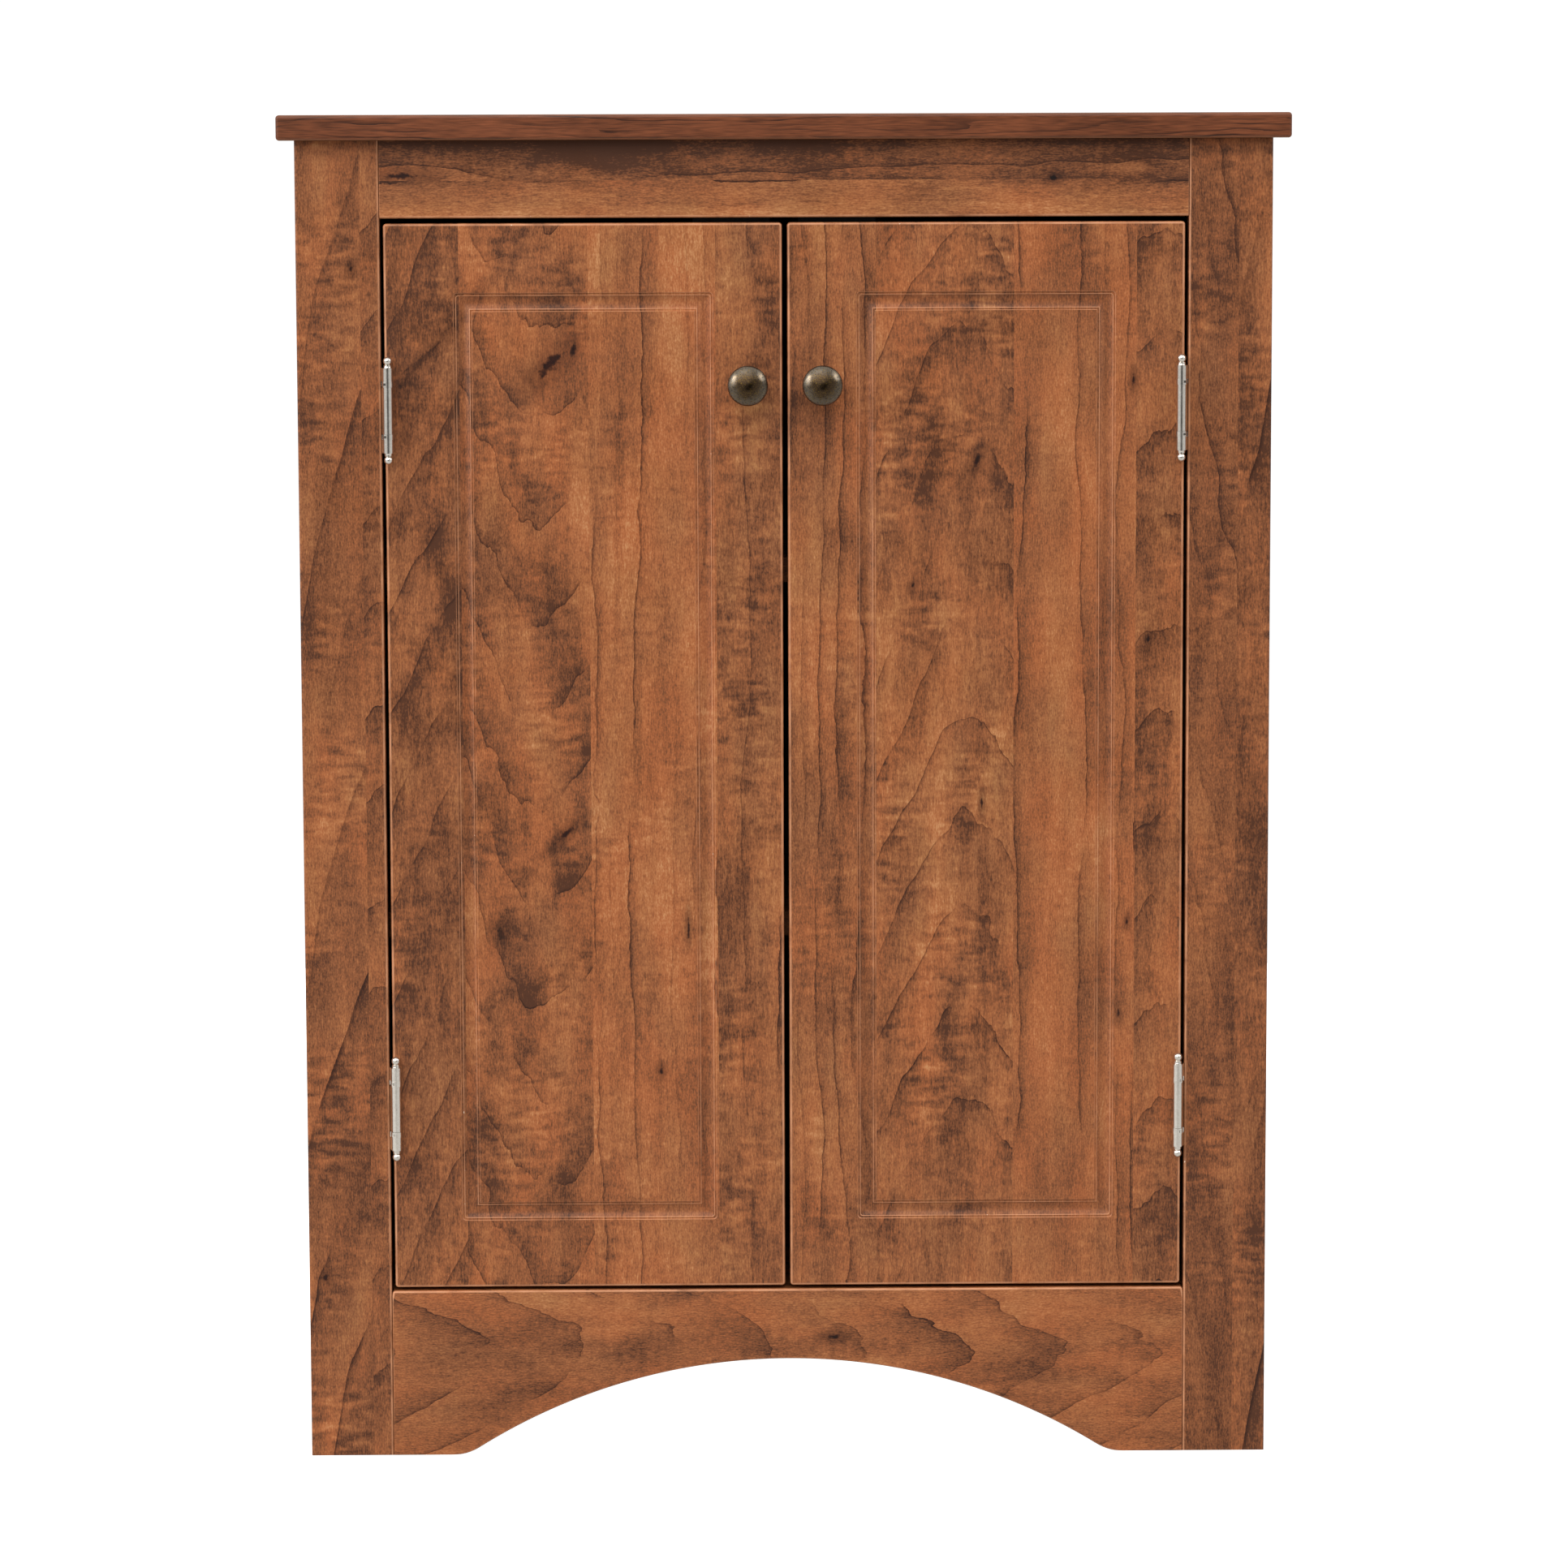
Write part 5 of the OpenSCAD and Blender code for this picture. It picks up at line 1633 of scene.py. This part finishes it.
@dataclass
class Studio:
    """A pale floor, a white surround, soft lamps and the camera.

    Places are in metres, angles in degrees, and the lens and its sensor in mm. The edges are where a change begins
    and ends, in how squarely a direction faces forwards or up.
    """

    eye: Place = (-0.0392, -3.3737, 0.8032)
    pitch: float = -6.91
    yaw: float = 0.67
    roll: float = -0.187
    lens: float = 124.81
    sensor: float = 36.0
    floor_half: float = 1.8
    floor_glow: float = 1.0
    backdrop: float = 1.05
    room: float = 0.58
    overhead: float = 0.5
    overhead_edge: Point = (0.3, 0.9)
    dim_front: float = 0.08
    dim_edge: Point = (0.86, 0.98)
    sun_power: float = 1.35
    sun_angle: float = 60.0
    sun_from: Place = (-0.6, -2.0, 1.7)
    lamps: tuple[Lamp, ...] = (
        Lamp("left softbox", (-2.9, -1.4, 1.9), (0.9, 1.6), 52),
        Lamp("right softbox", (2.8, -1.2, 2.4), (0.8, 1.4), 30),
    )

    def build(self) -> None:
        """Makes the floor, the light and the camera."""
        bpy.context.scene.view_settings.view_transform = "Standard"
        self._floor()
        self._surround()
        self._lamps()
        self._camera()

    def _floor(self) -> None:
        """Lays the floor."""
        h = self.floor_half
        mesh = bpy.data.meshes.new("floor")
        mesh.from_pydata([(-h, -h, 0), (h, -h, 0), (h, h, 0), (-h, h, 0)], [], [(0, 1, 2, 3)])
        floor = new_object("floor", mesh)
        paint = PALE_FLOOR.material("floor lit white acrylic")
        t = paint.node_tree
        shader = t.nodes["Principled BSDF"]
        direct = add(t, "ShaderNodeLightPath", out="Is Camera Ray")
        glow = add(t, "ShaderNodeMath", [direct, self.floor_glow], operation="MULTIPLY")
        shader.inputs["Emission Color"].default_value = (1, 1, 1, 1)
        t.links.new(glow, shader.inputs["Emission Strength"])
        dress(floor, paint)

    def _surround(self) -> None:
        """Makes a white surround that lights the cabinet evenly, and is dimmer in front for the metal to show."""
        world = bpy.data.worlds.new("surround")
        bpy.context.scene.world = world
        world.use_nodes = True
        t = world.node_tree
        t.nodes.clear()
        way = add(t, "ShaderNodeTexCoord", out="Generated")
        ahead = add(t, "ShaderNodeVectorMath", [way, (0, -1, 0)], out="Value", operation="DOT_PRODUCT")
        level = add(t, "ShaderNodeMapRange", [ahead, *self.dim_edge, self.room, self.dim_front], **SMOOTH)
        above = add(t, "ShaderNodeVectorMath", [way, (0, 0, 1)], out="Value", operation="DOT_PRODUCT")
        above = add(t, "ShaderNodeMapRange", [above, *self.overhead_edge, 0.0, self.overhead], **SMOOTH)
        level = add(t, "ShaderNodeMath", [level, above], operation="ADD")
        room = add(t, "ShaderNodeBackground", {"Color": (1, 1, 1, 1), "Strength": level})
        seen = add(t, "ShaderNodeBackground", {"Color": (1, 1, 1, 1), "Strength": self.backdrop})
        direct = add(t, "ShaderNodeLightPath", out="Is Camera Ray")
        mixed = add(t, "ShaderNodeMixShader", [direct, room, seen])
        add(t, "ShaderNodeOutputWorld", {"Surface": mixed})

    def _lamps(self) -> None:
        """Hangs the soft lamps and one very soft sun from the upper left."""
        for lamp in self.lamps:
            light = bpy.data.lights.new(lamp.name, "AREA")
            light.shape = "RECTANGLE"
            light.size, light.size_y = lamp.size
            light.energy = lamp.power
            self._hang(light, lamp.place, lamp.aim)
        sun = bpy.data.lights.new("soft sky light", "SUN")
        sun.energy = self.sun_power
        sun.angle = math.radians(self.sun_angle)
        self._hang(sun, self.sun_from, (0, 0, 0))

    def _hang(self, light: bpy.types.Light, place: Place, aim: Place) -> None:
        """Puts a light at its place and points it at its aim.

        Args:
            light: The lamp or the sun.
            place: Where it hangs.
            aim: What it shines at.
        """
        lamp = new_object(light.name, light)
        lamp.location = place
        lamp.rotation_euler = (Vector(aim) - Vector(place)).to_track_quat("-Z", "Y").to_euler()

    def _camera(self) -> None:
        """Stands the camera in front of the cabinet, a little above its middle."""
        pitch, yaw, roll = (math.radians(a) for a in (self.pitch, self.yaw, self.roll))
        ahead = Vector((math.sin(yaw) * math.cos(pitch), math.cos(yaw) * math.cos(pitch), math.sin(pitch)))
        right = Vector((math.cos(yaw), -math.sin(yaw), 0))
        up = right.cross(ahead)
        side = math.cos(roll) * right + math.sin(roll) * up
        top = math.cos(roll) * up - math.sin(roll) * right
        camera = bpy.data.cameras.new("camera")
        camera.sensor_width = self.sensor
        camera.lens = self.lens
        stand = new_object("camera", camera)
        turn = Matrix((side, top, -ahead)).transposed().to_4x4()
        stand.matrix_world = Matrix.Translation(self.eye) @ turn
        bpy.context.scene.camera = stand


# ---------------------------------------------------------------- this cabinet's boards

LEFT_DOOR_FOIL = CherryFoil(
    seed=3.0,
    planks=(
        Plank(0, -0.09, 0.4, 1, 70, 0.85, 0.6),
        Plank(44, 0.0, 0.7, -1, 95, 1.0, 0.7),
        Plank(120.5, 0.08, 0.75, 0, 150, 0.3, 0.5),
        Plank(196, -0.05, 0.4, 0, 215, 0.75, 0.8),
    ),
    knots=(
        Knot(99, 559, 6.0, 11, 0.75),
        Knot(112, 567, 2.2, 6, 0.2),
        Knot(105.5, 277, 3.0, 6, 1.0),
        Knot(66, 217, 3.5, 5, 0.0, 0.85),
        Knot(179, 220, 1.1, 7, 0.0),
        Knot(162, 132, 1.5, 3, 0.0),
        Knot(24, 563, 3.0, 24, 0.86, 0.6),
    ),
)

RIGHT_DOOR_FOIL = CherryFoil(
    seed=13.0,
    planks=(
        Plank(0, -0.01, 0.5, 0, 20, 0.5, 0.5),
        Plank(52.5, 0.02, 0.55, 1, 106, 0.55, 0.9),
        Plank(134.5, 0.05, 0.75, 0, 150, 0.25, 0.3),
        Plank(207, -0.03, 0.45, 1, 225, 0.6, 0.5),
    ),
    knots=(
        Knot(112.5, 500, 2.5, 6, 0.3),
        Knot(74.5, 426, 1.6, 3, 0.2),
        Knot(116, 295, 1.2, 5, 0.0),
        Knot(206, 548.5, 1.3, 4, 0.0),
        Knot(215.5, 393, 1.5, 4, 0.0),
        Knot(198.5, 166, 1.2, 4, 0.0),
        Knot(203.5, 222, 1.2, 3, 0.0),
    ),
)

LEFT_STILE_FOIL = CherryFoil(
    seed=23.0,
    planks=(Plank(0, -0.10, 0.5, 0.5, 0, 0.3, 0.9), Plank(38, -0.13, 0.45, 1, 50, 0.4, 0.5)),
    knots=(Knot(33, 720, 1.6, 3), Knot(10, 110, 2.2, 3)),
)

RIGHT_STILE_FOIL = CherryFoil(
    seed=29.0,
    planks=(Plank(0, -0.17, 0.45, -0.5, 50, 0.2, 0.7), Plank(30, -0.14, 0.55, 0.4, 0, 0.25, 0.8)),
)

RAIL_FOIL = CherryFoil(
    seed=35.0,
    planks=(Plank(0, -0.12, 0.5, 0, 8, 0.5, 0.3), Plank(22, -0.12, 0.4, 0, 30, 0.9, 0.3)),
    knots=(Knot(25, 12, 2.5, 12, 0.0), Knot(23, 400, 2.6, 3)),
    # Darker towards the top edge: partly print and partly painted shadow under the top's overhang.
    fade=-0.7,
)

APRON_FOIL = CherryFoil(
    seed=37.0,
    planks=(Plank(0, 0.0, 0.6, 1, 62, 0.45, 0.25),),
    knots=(Knot(72, 268, 2.0, 5),),
)


def main() -> None:
    """Builds the cabinet's surfaces and fittings, part by part, and the studio round it."""
    logging.basicConfig(level=logging.INFO, format="%(name)s: %(message)s")
    Studio().build()
    Top().build()
    stile_r = (0.3, 1.5, 0.3, 1.5)
    FaceBoard("left_stile", Lie.UPRIGHT_FRONT, LEFT_STILE_FOIL, stile_r, (0, 0.9, 0.9, 0)).build()
    FaceBoard("right_stile", Lie.UPRIGHT_FRONT, RIGHT_STILE_FOIL, stile_r, (0.9, 0, 0, 0.9)).build()
    FaceBoard("top_rail", Lie.CROSSWISE_FRONT, RAIL_FOIL, (1.5, 0.3, 0.3, 0.3), (0.9, 0.9, 0, 0)).build()
    FaceBoard("apron", Lie.CROSSWISE_FRONT, APRON_FOIL, shape=ArchedEdge()).build()
    Door(Side.LEFT, LEFT_DOOR_FOIL).build()
    Door(Side.RIGHT, RIGHT_DOOR_FOIL).build()
    for side in Side:
        Knob(side).build()
    Hinges().build()
    Carcass().build()


if __name__ == "__main__":
    main()
